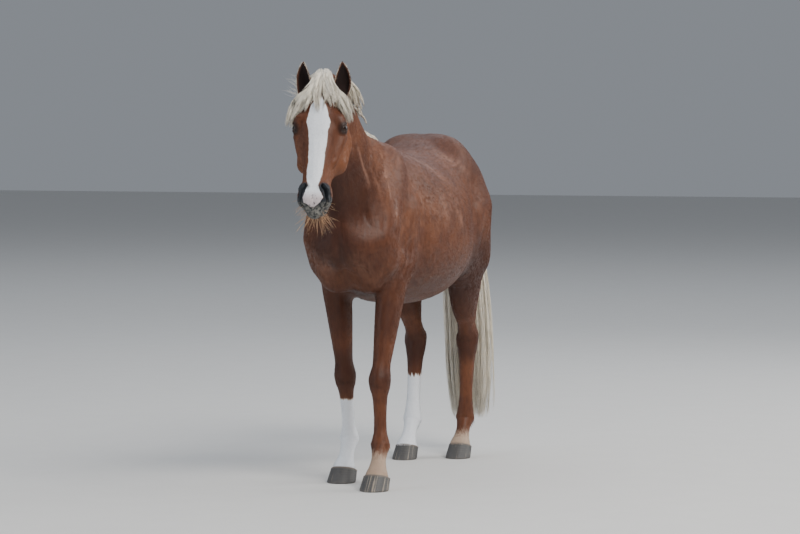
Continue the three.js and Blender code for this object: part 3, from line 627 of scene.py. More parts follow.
def skin_form(ear_growth):
    """The whole skin as a form, with the ears fuller by `ear_growth`."""
    swellings = [
        *(both_sides(swelling(*s)) for s in TRUNK_SWELLINGS + TRUNK_POINTS),
        *(both_sides(ridge(*deepened(*line))) for line in TRUNK_LINES),
        *rib_ridges(),
        *leg_ridges(),
    ]
    body = blended(skin_forms(ear_growth), swellings)
    return in_blocks(cut_at_coronets(lambda p: body(p) + COAT_DEPTH))


# ---- From form to mesh ----
COARSE = 48  # mm, a cube of the first search
FINE = 12  # mm, a cube of the first mesh
LOW, HIGH = np.array([-330, -940, -10]), np.array([330, 1250, 1790])
NEAR_COARSE = 1.3  # of a coarse cube, how near the surface its corners have to be


def at_corners(values, count):
    """The values at each of the eight corners of every cube, one corner at a time."""
    for corner in CORNERS:
        yield values[tuple(slice(c, c + n) for c, n in zip(corner, count))]


def surface_nets(form):
    """One corner for each small cube that the surface crosses, one square for each crossed edge."""
    ratio = COARSE // FINE
    count = np.ceil((HIGH - LOW) / COARSE).astype(int)
    grid = np.stack(np.meshgrid(*(np.arange(n + 1) for n in count), indexing="ij"), -1)
    values = form((LOW + grid.reshape(-1, 3) * COARSE).astype(float)).reshape(count + 1)
    near = np.zeros(count, bool)
    for corner in at_corners(values, count):
        near |= np.abs(corner) < COARSE * NEAR_COARSE
    fine = count * ratio + 1
    field = values
    for axis in range(3):
        field = np.repeat(field, ratio, axis)
    field = field[tuple(slice(n) for n in fine)]
    field = np.where(field < 0, -FAR, FAR).astype(float)
    wanted = np.zeros(fine, bool)
    for cube in np.argwhere(near):
        wanted[tuple(slice(i * ratio, (i + 1) * ratio + 1) for i in cube)] = True
    index = np.argwhere(wanted)
    field[wanted] = form(LOW + index * float(FINE))
    inside = field < 0
    cells = fine - 1
    total = sum(corner.astype(int) for corner in at_corners(inside, cells))
    active = np.argwhere((total > 0) & (total < 8))
    number = np.full(cells, -1)
    number[tuple(active.T)] = np.arange(len(active))
    places = np.zeros((len(active), 3))
    crossings = np.zeros(len(active))
    for a in range(8):
        for bit in (1, 2, 4):
            if a & bit:
                continue
            va, vb = (field[tuple((active + CORNERS[c]).T)] for c in (a, a | bit))
            crossed = (va < 0) != (vb < 0)
            t = np.where(crossed, va / np.where(crossed, va - vb, 1), 0)
            point = CORNERS[a] + t[:, None] * (CORNERS[a | bit] - CORNERS[a])
            places += point * crossed[:, None]
            crossings += crossed
    verts = LOW + (active + places / crossings[:, None]) * FINE
    quads = []
    for axis in range(3):
        s, t = (axis + 1) % 3, (axis + 2) % 3
        before = [slice(1, None)] * 3
        before[axis] = slice(None, -1)
        changed = np.argwhere(inside[tuple(before)] != inside[1:, 1:, 1:])
        changed += np.arange(3) != axis
        changed = changed[(changed < cells).all(1)]
        ring = []
        for ds, dt in ((0, 0), (1, 0), (1, 1), (0, 1)):
            cell = changed.copy()
            cell[:, s] -= ds
            cell[:, t] -= dt
            ring.append(number[tuple(cell.T)])
        ring = np.array(ring).T
        out = inside[tuple(changed.T)]
        quads.append(np.where(out[:, None], ring, ring[:, ::-1]))
    quads = np.concatenate(quads)
    diagonal = np.linalg.norm(verts[quads[:, 0]] - verts[quads[:, 2]], axis=1)
    other = np.linalg.norm(verts[quads[:, 1]] - verts[quads[:, 3]], axis=1)
    turned = np.where((diagonal <= other)[:, None], quads, np.roll(quads, -1, 1))
    tris = np.concatenate([turned[:, [0, 1, 2]], turned[:, [0, 2, 3]]])
    return verts, tris


def refined(verts, tris, marked):
    """Splits each marked triangle in four, and their neighbours to fit."""
    n = len(verts)
    edges = np.stack([tris, np.roll(tris, -1, 1)], -1)
    key = edges.min(-1) * n + edges.max(-1)
    split = np.unique(key[marked])
    at = np.searchsorted(split, key)
    at = np.minimum(at, len(split) - 1)
    is_split = split[at] == key
    middle = (verts[split // n] + verts[split % n]) / 2
    mids = np.where(is_split, n + at, -1)
    out = [tris[~is_split.any(1)]]
    number = is_split.sum(1)
    four = number == 3
    a, b, c = tris[four].T
    ab, bc, ca = mids[four].T
    out += [np.stack(t, 1) for t in ((a, ab, ca), (ab, b, bc), (ca, bc, c), (ab, bc, ca))]
    for turn in range(3):
        t, m, s = (np.roll(x, -turn, 1) for x in (tris, mids, is_split))
        one = (number == 1) & s[:, 0]
        a, b, c = t[one].T
        ab = m[one][:, 0]
        out += [np.stack((a, ab, c), 1), np.stack((ab, b, c), 1)]
        two = (number == 2) & s[:, 0] & s[:, 1]
        a, b, c = t[two].T
        ab, bc = m[two][:, :2].T
        out += [np.stack(x, 1) for x in ((a, ab, c), (ab, b, bc), (ab, bc, c))]
    return np.concatenate([verts, middle]), np.concatenate(out)


SLOPE_STEP = 0.7  # mm


def slope_of(form, p, step=SLOPE_STEP):
    """The form's value and slope at each point."""
    moved = np.concatenate([p, *(p + step * axis for axis in np.eye(3))])
    v = form(moved).reshape(4, -1)
    return v[0], (v[1:] - v[0]).T / step


def settle(form, verts, most, rounds=1, rows=None):
    """Moves corners onto the surface, by no more than `most` in each round."""
    rows = np.arange(len(verts)) if rows is None else rows
    verts = verts.copy()
    for _ in range(rounds):
        value, slope = slope_of(form, verts[rows])
        steep = np.maximum(np.linalg.norm(slope, axis=1), 1e-3)
        move = np.clip(value / steep, -most, most)
        verts[rows] -= slope * (move / steep)[:, None]
    return verts


def neighbours_mean(verts, tris):
    edges = np.concatenate([tris[:, [0, 1]], tris[:, [1, 2]], tris[:, [2, 0]]])
    edges = np.concatenate([edges, edges[:, ::-1]])
    count = np.bincount(edges[:, 0], minlength=len(verts))
    sums = [np.bincount(edges[:, 0], verts[edges[:, 1], axis], len(verts)) for axis in range(3)]
    return np.stack(sums, 1) / np.maximum(count, 1)[:, None]


def normals_of(verts, tris):
    a, b, c = (verts[tris[:, i]] for i in range(3))
    face = np.cross(b - a, c - a)
    sums = [np.bincount(tris.ravel(), np.repeat(face[:, i], 3), len(verts)) for i in range(3)]
    return unit(np.stack(sums, 1))


RELAX = 0.5  # of the way to the mean of a corner's neighbours


def relaxed(verts, tris):
    """Evens the corners out along the surface."""
    move = neighbours_mean(verts, tris) - verts
    normal = normals_of(verts, tris)
    return verts + RELAX * (move - normal * dot(move, normal)[:, None])


# ---- What only the skin shows of the head: cups of the ears, lids, nostrils and lips ----
NOSTRIL = [(38, 478, -12), (50, 494, -20), (57, 512, -34), (54, 530, -48), (42, 542, -58)]
NOSTRIL_WIDE, NOSTRIL_DEEP, NOSTRIL_EDGE = 9.5, 30, 5
NOSTRIL_IN = unit([-0.8, -0.35, -0.3])
LIP_LINE = [
    (0, 562, -101), (22, 556, -103), (40, 536, -107), (50, 508, -111), (52, 478, -113), (50, 448, -115),
]
LIP_DEEP, LIP_WIDE = 7, 3.2  # of the line between the lips
LIP_RISE, LIP_ROUND = 1.6, 9  # of the lips beside it
HEAD_LINES = [
    # (points, width, height)
    ([(80, 176, -14), (98, 190, -16), (106, 206, -22), (104, 222, -32)], 5, 3),  # fold over the upper lid
    ([(84, 168, -20), (102, 184, -26), (110, 204, -30)], 3, -2.5),
    ([(96, 232, -62), (84, 250, -64), (74, 262, -62)], 4, 2.5),  # below the inner corner
    ([(90, 234, -52), (80, 290, -60), (64, 346, -62)], 8, 2.5),  # crest of the cheek bone
    ([(86, 150, -120), (90, 210, -196), (76, 262, -224), (52, 300, -214)], 15, 4),  # edge of the jaw
    ([(60, 306, -96), (56, 372, -84), (50, 430, -66)], 6, 2.2),  # muscle to the nostril
    ([(58, 330, -52), (50, 392, -36), (42, 440, -22)], 6, -2.5),
    ([(30, 300, -2), (24, 380, -6), (20, 450, -8)], 9, -1.5),  # beside the bridge of the nose
    ([(66, 486, -22), (76, 500, -44), (70, 520, -62), (56, 532, -70)], 6, 3),  # wing of the nostril
    ([(36, 468, -14), (48, 486, -26), (52, 504, -42)], 5, 3),  # inner rim
    ([(0, 520, -30), (0, 552, -56)], 7, -2.5),  # between the nostrils
    ([(26, 552, -88), (44, 530, -96), (54, 500, -102)], 8, 2.5),  # upper lip
    ([(20, 556, -118), (38, 528, -124), (46, 496, -128)], 8, 2),  # lower lip
    ([(60, 462, -92), (58, 446, -110), (54, 440, -126)], 4, -2),  # folds at the corner of the mouth
]


def laid(points, form):
    """Moves a line's points, given in the head's frame, onto a surface near them."""
    return to_head(settle(form, from_head(points), 12, 4))


def flipped(v, side):
    """Vectors with x turned over where the side is -1."""
    return v * np.stack([side, np.ones(len(side)), np.ones(len(side))], 1)


EAR_FULLER = 0.19  # of its width that the skin adds to an ear


def ear_fuller(along):
    """What the skin adds to the width of an ear, at shares of its length."""
    return EAR_FULLER * smooth_step((along - 0.04) / 0.3)


EAR_MIDDLE = (EAR_ROOT + EAR_TIP) / 2
EAR_REACH = 120  # mm from its middle that holds all of an ear
EAR_EDGE = 0.5  # mm that the skin may stand out past an ear's edge
LOOSE_DEEP, LOOSE_WIDE = 26, 9  # mm about an ear's edge where stray corners are drawn in


def ear_cupped(h):
    """Presses the front of each ear in, to the cup's inner side, and spreads its edges."""
    p = mirrored(h)
    near = np.nonzero(np.linalg.norm(p - EAR_MIDDLE, axis=1) < EAR_REACH)[0]
    if not len(near):
        return h
    s, u, w, over, along = EAR_LOFT.nearest(p[near])
    _, width, behind, front, hollow = sampled_at(EAR_CUP_ROWS, along).T
    share = np.clip(np.abs(w) / np.maximum(width - EAR_WALL, 1), 0, 1)
    depth = (front + (EAR_WALL - behind - front) * hollow) * np.sqrt(np.maximum(1 - share**2, 0))
    inside = (share < 1) & (over < 0.01) & (along > 0.02)
    wanted = np.where(inside, np.minimum(u, depth), u)
    up, tangent = sampled_at(EAR_LOFT.ups, along), sampled_at(EAR_LOFT.tangents, along)
    out = p.copy()
    out[near] += up * (wanted - u)[:, None]
    of_ear = 1 - smooth_step((EAR_LOFT(p[near]) - 3) / 7)
    edge = s[:, 5] + EAR_EDGE
    loose = (over < 0.01) & (along > 0.3) & (np.abs(u) < LOOSE_DEEP) & (np.abs(w) < edge + LOOSE_WIDE)
    spread = np.where(loose, np.clip(w, -edge, edge), w) * (1 + ear_fuller(along)) - w
    out[near] += np.cross(tangent, up) * (spread * np.maximum(of_ear, loose))[:, None]
    out[:, 0] *= np.sign(h[:, 0])
    return out


EAR_CUP_ROWS = sampled(EAR)


def sampled_at(rows, share):
    """Rows of a table at a share of its length."""
    place = np.clip(share, 0, 1) * (len(rows) - 1)
    i = np.minimum(place.astype(int), len(rows) - 2)
    return rows[i] + (rows[i + 1] - rows[i]) * (place - i)[:, None]


LID_LONG, LID_HIGH, LID_LOW = 21.5, 14.0, 11.5
LID_EDGE = 3.2  # mm over which a lid's edge turns in
EYE_HOLLOW = 18.5  # radius of the socket behind the eye
EYE_REACH = 40  # mm from the eye's middle that holds its lids
NOT_OPEN = -20


def lid_opening(p):
    """How far inside the opening between the lids a point of the head's frame lies."""
    v = mirrored(p) - EYE
    a, b, out = v @ EYE_ALONG, v @ EYE_UP, v @ EYE_OUT
    arch = np.maximum(1 - (a / LID_LONG) ** 2, 0)
    upper, lower = LID_HIGH * arch**0.8, -LID_LOW * arch**0.9
    gap = np.minimum(upper - b, b - lower)
    gap = np.where(np.abs(a) > LID_LONG, -(np.abs(a) - LID_LONG) - 0.5, gap)
    return np.where(out > 2, gap, NOT_OPEN)


def lids_opened(h):
    """Presses the skin between the lids back behind the eye."""
    p = mirrored(h)
    v = p - EYE
    far = np.linalg.norm(v, axis=1)
    share = smooth_step(lid_opening(h) / LID_EDGE) * (far < EYE_REACH)
    out = p + v * (share * (EYE_HOLLOW / np.maximum(far, 1) - 1))[:, None]
    out[:, 0] *= np.where(h[:, 0] < 0, -1, 1)
    return out


def pressed_head(h, normal, form):
    """Nostrils, lips and the finer lines of the face."""
    p = mirrored(h)
    side = np.where(h[:, 0] < 0, -1, 1)
    height = sum(ridge(laid(line, form), width, high)(p) for line, width, high in HEAD_LINES)
    lip = line_distance(p, laid(LIP_LINE, form))
    height += LIP_RISE * np.exp(-((lip / LIP_ROUND) ** 2)) - LIP_DEEP * np.exp(-((lip / LIP_WIDE) ** 2))
    out = h + normal * height[:, None]
    nostril = line_distance(p, laid(NOSTRIL, form))
    inside = smooth_step((NOSTRIL_WIDE - nostril) / NOSTRIL_EDGE)
    return out + flipped(inside[:, None] * (NOSTRIL_IN * NOSTRIL_DEEP), side)


ROUGH_EARS = 7  # mm that the ears are fuller at first, so that the small cubes catch them
HEAD_BACK, HEAD_UNDER = -480, 1000  # the head lies before and above these
FINE_BACK = -520  # what is before this is split once more
FINE_BELOW = 560  # and so is what is lower than this


def by_head(p, back=HEAD_BACK):
    """True for points far enough forward and up to be the head's."""
    return (p[:, 1] < back) & (p[:, 2] > HEAD_UNDER)


def skin_shape():
    """The skin's corners and triangles in mm about the point between the forelegs."""
    rough, form = skin_form(ROUGH_EARS + COAT_DEPTH), skin_form(COAT_DEPTH)
    verts, tris = surface_nets(rough)
    verts = settle(rough, relaxed(verts, tris), FINE / 2)
    centre = verts[tris].mean(1)
    on_head = (to_head(centre)[:, 1] > -60) & by_head(centre, FINE_BACK)
    verts, tris = refined(verts, tris, on_head | (centre[:, 2] < FINE_BELOW))
    centre = verts[tris].mean(1)
    verts, tris = refined(verts, tris, fine_places(centre))
    verts = settle(form, relaxed(verts, tris), FINE / 2, 2, np.nonzero(by_head(verts))[0])
    verts = settle(form, relaxed(verts, tris), FINE / 2)
    verts, tris = refined(verts, tris, finest_places(verts[tris].mean(1)))
    verts = settle(form, relaxed(verts, tris), FINE / 4)
    h = to_head(verts)
    near = np.nonzero((h[:, 1] > -110) & by_head(verts))[0]
    h, normal = h[near], normals_of(verts, tris)[near] @ HEAD_AXES.T
    verts[near] = from_head(lids_opened(ear_cupped(pressed_head(h, normal, form))))
    return verts, tris


def fine_places(c):
    """True for places of the skin that need small triangles."""
    p = mirrored(to_head(c))
    ear = np.linalg.norm((p - EAR_MIDDLE) * [1, 0.62, 0.75], axis=1) < 70
    eye = np.linalg.norm(p - EYE, axis=1) < 42
    muzzle = (p[:, 1] > 440) & (line_distance(p, NOSTRIL) < 24)
    lips = line_distance(p, LIP_LINE) < 12
    return by_head(c) & (ear | eye | muzzle | lips)


def finest_places(c):
    """True at the edges of the lids and in the nostrils."""
    p = mirrored(to_head(c))
    eye = (np.abs(lid_opening(p)) < 7) & (np.linalg.norm(p - EYE, axis=1) < 36)
    nostril = line_distance(p, NOSTRIL) < 15
    return by_head(c) & (eye | nostril)


# ---- The skin unrolled: each part of it about its own axis, side by side in the unit square ----
CHARTS = {
    # name: (left, bottom, width, height) of its room
    "trunk": (0.0, 0.0, 1.0, 0.34),
    "neck": (0.0, 0.35, 0.5, 0.2),
    "head": (0.51, 0.35, 0.49, 0.3),
    "ears": (0.0, 0.56, 0.5, 0.09),
    "foreleg_left": (0.0, 0.66, 0.24, 0.34),
    "foreleg_right": (0.25, 0.66, 0.24, 0.34),
    "hindleg_left": (0.5, 0.66, 0.24, 0.34),
    "hindleg_right": (0.75, 0.66, 0.24, 0.34),
}
CHART_LOFTS = dict(zip(CHARTS, (TRUNK_LOFT, NECK_LOFT, HEAD_LOFT, EAR_LOFT, *LEG_LOFTS.values())))
CHART_TURNS = 1.12  # turns about a part that its room is wide enough for
CHART = {name: index for index, name in enumerate(CHARTS)}
EAR_SIDES = 2


def chart_of(p):
    """Which part of the skin each point belongs to."""
    h = to_head(p)
    away = [TRUNK_LOFT(p), NECK_LOFT(p), HEAD_LOFT(h), ear_form(h, 6)]
    away += [loft(p) for loft in LEG_LOFTS.values()]
    return np.argmin(away, axis=0)


def unrolled(corners, owner=None):
    """Places on the charts for the corners (n, k, 3) of n shapes that each lie on one chart."""
    n, k, _ = corners.shape
    chart = chart_of(corners.mean(1)) if owner is None else owner
    out = np.zeros((n, k, 2))
    for index, (name, room) in enumerate(CHARTS.items()):
        rows = np.nonzero(chart == index)[0]
        if not len(rows):
            continue
        p = corners[rows].reshape(-1, 3)
        if name in ("head", "ears"):
            p = to_head(p)
        if name == "ears":
            p = mirrored(p)
        along, angle = CHART_LOFTS[name].place(p)
        angle = (angle / (2 * np.pi) + 0.5).reshape(-1, k)
        wrapped = (angle.max(1) - angle.min(1) > 0.5)[:, None] & (angle < 0.5)
        across = (angle + wrapped) / CHART_TURNS
        if name == "ears":
            left = to_head(corners[rows].mean(1))[:, 0] > 0
            across = (across + left[:, None]) / EAR_SIDES
        out[rows, :, 0] = room[0] + room[2] * across
        out[rows, :, 1] = room[1] + room[3] * along.reshape(-1, k)
    return out


# ---- From numbers to objects ----
def to_metres(p):
    return (np.asarray(p) - MIDDLE) / 1000


def make_mesh(name, verts, faces, uv, finish, replaced=(), normals=None, values=None):
    """A mesh object in metres, from corners in mm, with its unrolled places for each face corner."""
    mesh = bpy.data.meshes.new(name)
    count, size = faces.shape
    mesh.vertices.add(len(verts))
    mesh.vertices.foreach_set("co", to_metres(verts).astype(np.float32).ravel())
    mesh.loops.add(count * size)
    mesh.loops.foreach_set("vertex_index", faces.astype(np.int32).ravel())
    mesh.polygons.add(count)
    mesh.polygons.foreach_set("loop_start", np.arange(0, count * size, size, dtype=np.int32))
    mesh.polygons.foreach_set("use_smooth", np.ones(count, bool))
    layer = mesh.uv_layers.new(name="OFBake")
    layer.data.foreach_set("uv", uv.astype(np.float32).ravel())
    for key, numbers in (values or {}).items():
        mesh.attributes.new(key, "FLOAT", "POINT").data.foreach_set("value", numbers.astype(np.float32))
    mesh.update(calc_edges=True)
    if normals is not None:
        mesh.normals_split_custom_set_from_vertices(unit(normals).astype(np.float32))
    mesh.materials.append(finish)
    piece = bpy.data.objects.new(name, mesh)
    bpy.context.collection.objects.link(piece)
    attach(piece, "root")
    if replaced:
        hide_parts(*replaced)
    return piece


# ---- Shader maths ----
def operation(name, swap=False):
    """A method that stands for one operation of shader maths."""
    return lambda self, *others: self.maths(name, *others, swap=swap)


class Value:
    """A socket, or a number, that shader maths can be written with."""

    def __init__(self, shader, socket, vector=False):
        self.shader, self.socket, self.vector = shader, socket, vector

    def maths(self, operation, *others, swap=False):
        given = [self, *others]
        if swap:
            given.reverse()
        vector = any(v.vector if isinstance(v, Value) else isinstance(v, tuple) for v in given)
        kind = "ShaderNodeVectorMath" if vector else "ShaderNodeMath"
        return self.shader.node(kind, {"operation": operation}, dict(enumerate(given)), vector=vector)

    __add__ = __radd__ = operation("ADD")
    __sub__, __rsub__ = operation("SUBTRACT"), operation("SUBTRACT", swap=True)
    __mul__ = __rmul__ = operation("MULTIPLY")
    __truediv__ = operation("DIVIDE")
    __abs__ = operation("ABSOLUTE")
    least, most = operation("MINIMUM"), operation("MAXIMUM")
    root, sine = operation("SQRT"), operation("SINE")

    def ramp(self, low, high):
        """0 at `low`, 1 at `high`, smooth between."""
        settings = {"interpolation_type": "SMOOTHSTEP"}
        return self.shader.node("ShaderNodeMapRange", settings, {0: self, 1: low, 2: high, 3: 0.0, 4: 1.0})

    def dotted(self, vector):
        settings = {"operation": "DOT_PRODUCT"}
        return self.shader.node("ShaderNodeVectorMath", settings, {0: self, 1: vector}, out="Value")


def most_of(values):
    """The greatest of several values."""
    return reduce(Value.most, values)


BUMP_STRENGTH = 0.6


class Shader:
    """A material and the ways to build it."""

    def __init__(self, name, **fixed):
        self.material = bpy.data.materials.new(name)
        self.material.use_nodes = True
        self.tree = self.material.node_tree
        self.surface = next(n for n in self.tree.nodes if n.type == "BSDF_PRINCIPLED")
        for key, value in fixed.items():
            self.surface.inputs[key.replace("_", " ")].default_value = value

    def node(self, kind, settings=None, inputs=None, out=0, vector=False):
        made = self.tree.nodes.new(kind)
        for key, value in (settings or {}).items():
            if key == "stops":
                self.set_stops(made.color_ramp, value)
            else:
                setattr(made, key, value)
        for key, value in (inputs or {}).items():
            socket = made.inputs[key]
            if isinstance(value, Value):
                self.tree.links.new(value.socket, socket)
            elif socket.type in ("VECTOR", "RGBA") and isinstance(value, (int, float)):
                socket.default_value = (value,) * len(socket.default_value)
            elif socket.type == "RGBA":
                socket.default_value = (*value[:3], 1)
            else:
                socket.default_value = value
        return Value(self, made.outputs[out], vector)

    def set_stops(self, ramp, stops):
        while len(ramp.elements) < len(stops):
            ramp.elements.new(0.5)
        for element, (place, colour) in zip(ramp.elements, stops):
            element.position, element.color = place, (*colour, 1)

    def place(self):
        """Where on the horse, in metres."""
        return self.node("ShaderNodeTexCoord", out="Object", vector=True)

    def parts(self, vector):
        made = self.node("ShaderNodeSeparateXYZ", inputs={0: vector})
        outputs = made.socket.node.outputs
        return [Value(self, outputs[i]) for i in range(3)]

    def joined(self, x, y, z):
        return self.node("ShaderNodeCombineXYZ", inputs={0: x, 1: y, 2: z}, vector=True)

    def noise(self, vector, scale, detail=2.0, rough=0.5, warp=0.0):
        inputs = {"Vector": vector, "Scale": scale, "Detail": detail, "Roughness": rough, "Distortion": warp}
        return self.node("ShaderNodeTexNoise", inputs=inputs)

    def attribute(self, name):
        return self.node("ShaderNodeAttribute", {"attribute_name": name}, out="Fac")

    def mix(self, share, a, b):
        """Colours a and b, mixed by share."""
        return self.node("ShaderNodeMix", {"data_type": "RGBA"}, {0: share, 6: a, 7: b}, out=2, vector=True)

    def layered(self, base, layers):
        """A colour with others laid over it, each by its share."""
        for share, colour in layers:
            base = self.mix(share, base, colour)
        return base

    def bump(self, height, distance):
        inputs = {"Height": height, "Distance": distance, "Strength": BUMP_STRENGTH}
        return self.node("ShaderNodeBump", inputs=inputs, vector=True)

    def finish(self, **inputs):
        for key, value in inputs.items():
            self.tree.links.new(value.socket, self.surface.inputs[key.replace("_", " ")])
        return self.material


def head_place(shader):
    """The place in the head's frame, in mm: to the left, down the face and out of it."""
    v = shader.place() - tuple(to_metres(POLL))
    return [v.dotted(tuple(axis)) * 1000 for axis in HEAD_AXES]


# ---- Sizes and colours that a user would change ----
def colour(name, text, value):
    limits = {"min": 0, "max": 1}
    return FloatVectorProperty(name=name, description=text, default=value, size=3, subtype="COLOR", **limits)


def length(name, text, value):
    return FloatProperty(name=name, description=text, default=value, unit="LENGTH", min=0.0)


class HorseSizes(bpy.types.PropertyGroup):
    """Lengths and counts."""

    tuft_length: length("Coat", "Length of the short coat's tufts", 0.011)
    mane_length: length("Mane", "Length of the longest hair of the mane", 0.36)
    hair_width: length("Hair width", "Width of one strand at its thickest", 0.0026)
    camera_distance: length("Camera distance", "From the point between the forelegs", 13.5)
    tuft_count: IntProperty(name="Coat tufts", description="Scales all pieces of coat", default=40000, min=0)


class HorseColours(bpy.types.PropertyGroup):
    """Colours of the coat, hair, horn and eyes."""

    chestnut: colour("Chestnut", "Main colour of the coat", (0.112, 0.038, 0.0185))
    dark: colour("Dark", "Knees, hocks and shaded places", (0.036, 0.012, 0.008))
    # In the coat this colour also paints light on the cheeks.
    light: colour("Light", "Flanks, belly and inside of the legs", (0.25, 0.093, 0.041))
    white: colour("White", "Blaze and stockings", (0.91, 0.94, 0.99))
    cream: colour("Cream", "Faded white of the left feet", (0.74, 0.58, 0.44))
    skin_grey: colour("Muzzle", "Bare dark skin", (0.020, 0.023, 0.029))
    pink: colour("Pink", "Bare pale skin", (0.46, 0.27, 0.25))
    hair_pale: colour("Pale hair", "Mane, forelock and tail", (0.90, 0.84, 0.72))
    hair_deep: colour("Deep hair", "Under the outer hair", (0.27, 0.215, 0.155))
    horn_dark: colour("Dark horn", "Dark hooves", (0.060, 0.060, 0.062))
    horn_pale: colour("Pale horn", "Pale stripes of the hooves", (0.42, 0.35, 0.27))
    eye_brown: colour("Eye", "Iris", (0.014, 0.006, 0.0035))


def sizes():
    return bpy.context.scene.horse_sizes


def colours():
    """The colours as tuples, each under its own name."""
    group = bpy.context.scene.horse_colours
    return SimpleNamespace(**{key: tuple(getattr(group, key)) for key in HorseColours.__annotations__})


# ---- Markings, shared by the skin and the coat ----
FACE = 600.0  # mm of the face that the blaze's edges are given over
WIDE = 200.0  # mm across that they are given in
# (place down the face, right edge, left edge), in mm from the middle line
BLAZE = [
    (60, -6, 4), (108, -22, 12), (134, -38, 25), (170, -44, 36), (203, -49, 47), (238, -38, 39),
    (278, -35, 36), (365, -31, 32), (430, -33, 28), (477, -24, 16), (501, -32, 26), (522, -42, 38),
    (539, -37, 27), (552, -14, 6),
]


def blaze_edge(shader, s, column):
    """How far across the blaze's edge lies, down the face."""
    stops = [(row[0] / FACE, (row[column] / WIDE + 0.5,) * 3) for row in BLAZE]
    edge = shader.node("ShaderNodeValToRGB", {"stops": stops}, {0: s / FACE})
    return (edge - 0.5) * WIDE


def blaze(shader, head, wobble):
    x, s, u = head
    right = x - blaze_edge(shader, s, 1) + wobble
    left = blaze_edge(shader, s, 2) - x + wobble
    front = (u + 62).ramp(0.0, 8.0) * s.ramp(70.0, 110.0) * (1 - (s + wobble).ramp(548.0, 556.0))
    return right.least(left).ramp(-1.5, 1.5) * front


WHITE_LEGS = [
    # (middle across, middle back, half-depth, top of the white, raggedness, how white), metres
    (-0.10, -0.17, 0.22, 0.338, 0.010, 1.0),  # right fore
    (-0.115, 0.75, 0.24, 0.366, 0.022, 1.0),  # right hind
    (0.125, -0.44, 0.2, 0.140, 0.022, 0.48),  # left fore
    (0.095, 0.86, 0.2, 0.104, 0.022, 0.56),  # left hind
]


SHARP_EDGE, FADED_EDGE = (-0.008, 0.004), (-0.03, 0.02)


def white_legs(shader, p, ragged):
    x, y, z = shader.parts(p)
    masks = []
    for across, back, deep, top, rough, share in WHITE_LEGS:
        side = (x * (1 if across > 0 else -1)).ramp(-0.002, 0.002)
        here = side * (deep - abs(y - back)).ramp(0.0, 0.01)
        edge = (top - z + ragged * rough).ramp(*(SHARP_EDGE if share == 1 else FADED_EDGE))
        masks.append(here * edge * share)
    return most_of(masks)


def near_places(head, places, radius):
    """1 on a few round places of the head, 0 away from them; both sides alike."""
    x, s, u = head
    masks = []
    for px, ps, pu in places:
        away = ((abs(x) - px) * (abs(x) - px) + (s - ps) * (s - ps) + (u - pu) * (u - pu)).root()
        masks.append(1 - away.ramp(radius * 0.55, radius))
    return most_of(masks)


DARK_AND_SHADED_PLACES = [
    # (across, back, up), radius, in metres: knees and hocks, darker in their own right, and painted shade on
    # the insides of the legs, under the throat and breast, between the forelegs and on the thighs under the
    # belly
    ((-0.10, -0.183, 0.455), 0.145), ((0.110, -0.353, 0.44), 0.075), ((0.110, -0.39, 0.16), 0.055),
    ((-0.116, 0.83, 0.49), 0.14), ((0.107, 0.89, 0.50), 0.12), ((0.0, -0.30, 0.80), 0.12),
    ((0.0, -0.54, 1.22), 0.24), ((-0.03, -0.56, 0.98), 0.17), ((0.20, 0.66, 0.84), 0.24),
    ((-0.20, 0.66, 0.84), 0.24),
]
# Lines in mm along which a painted highlight lightens the coat, over the folds of the neck and shoulder, the
# breast and the barrel, on both sides alike.
HIGHLIGHT_LINES = [
    # (points, half-width, how bright the painted highlight is)
    ([(85, -328, 1418), (85, -278, 1373), (87, -247, 1324), (93, -213, 1279), (99, -205, 1235)], 6.5, 1.0),
    ([(103, -178, 1299), (125, -168, 1238), (144, -173, 1177)], 6, 0.8),
    ([(98, -62, 1378), (132, -100, 1301), (150, -115, 1249), (163, -128, 1185)], 6, 1.0),
    ([(150, 36, 1345), (158, 31, 1324), (175, 21, 1265)], 7, 0.9),
    ([(187, -97, 1175), (193, -129, 1128), (196, -150, 1080)], 7, 0.7),
    ([(252, 439, 1182), (277, 472, 1097), (285, 535, 1010)], 24, 0.5),
    ([(231, 338, 1205), (270, 354, 1058)], 22, 0.45),
    ([(101, 611, 1368), (172, 669, 1325), (225, 792, 1237)], 30, 0.45),
    ([(75, 300, 1352), (150, 380, 1320), (225, 470, 1230)], 26, 0.4),
    ([(60, -275, 930), (76, -235, 900), (104, -190, 856)], 26, 0.4),
    ([(88, -300, 1440), (104, -250, 1392), (116, -200, 1330), (124, -180, 1282)], 5, 0.7),
    ([(122, -40, 1330), (146, -62, 1268), (166, -72, 1212)], 6, 0.6),
]


HIGHLIGHT_ENDS = 70  # mm over which a painted highlight line fades at its ends


def painted_highlight_at(p):
    """How much painted highlight lies along the lines, at points of the skin."""
    q = mirrored(p)
    out = np.zeros(len(p))
    for points, width, pale in HIGHLIGHT_LINES:
        line = np.array(points, float)
        near = ((q > line.min(0) - 3 * width) & (q < line.max(0) + 3 * width)).all(1)
        away = line_distance(q[near], line)
        ends = np.min([np.linalg.norm(q[near] - end, axis=1) for end in (line[0], line[-1])], axis=0)
        faded = pale * (0.3 + 0.7 * smooth_step(ends / HIGHLIGHT_ENDS))
        out[near] = np.maximum(out[near], faded * np.exp(-((away / width) ** 2)))
    return out


LIP_PLACES = [(0, 580, -70), (22, 574, -78), (42, 556, -82), (50, 530, -100), (0, 566, -124), (34, 548, -124)]
NOSE_PLACES = [(44, 486, -18), (56, 506, -32), (57, 524, -46), (44, 548, -54)]


# Places in the head's frame: dark spots between the nostrils, and the pink corner of the lips.
SPOT_MIDDLE, SPOT_SIDE, LIP_CORNER = (0, 553, -82), (26, 556, -84), (50, 520, -114)
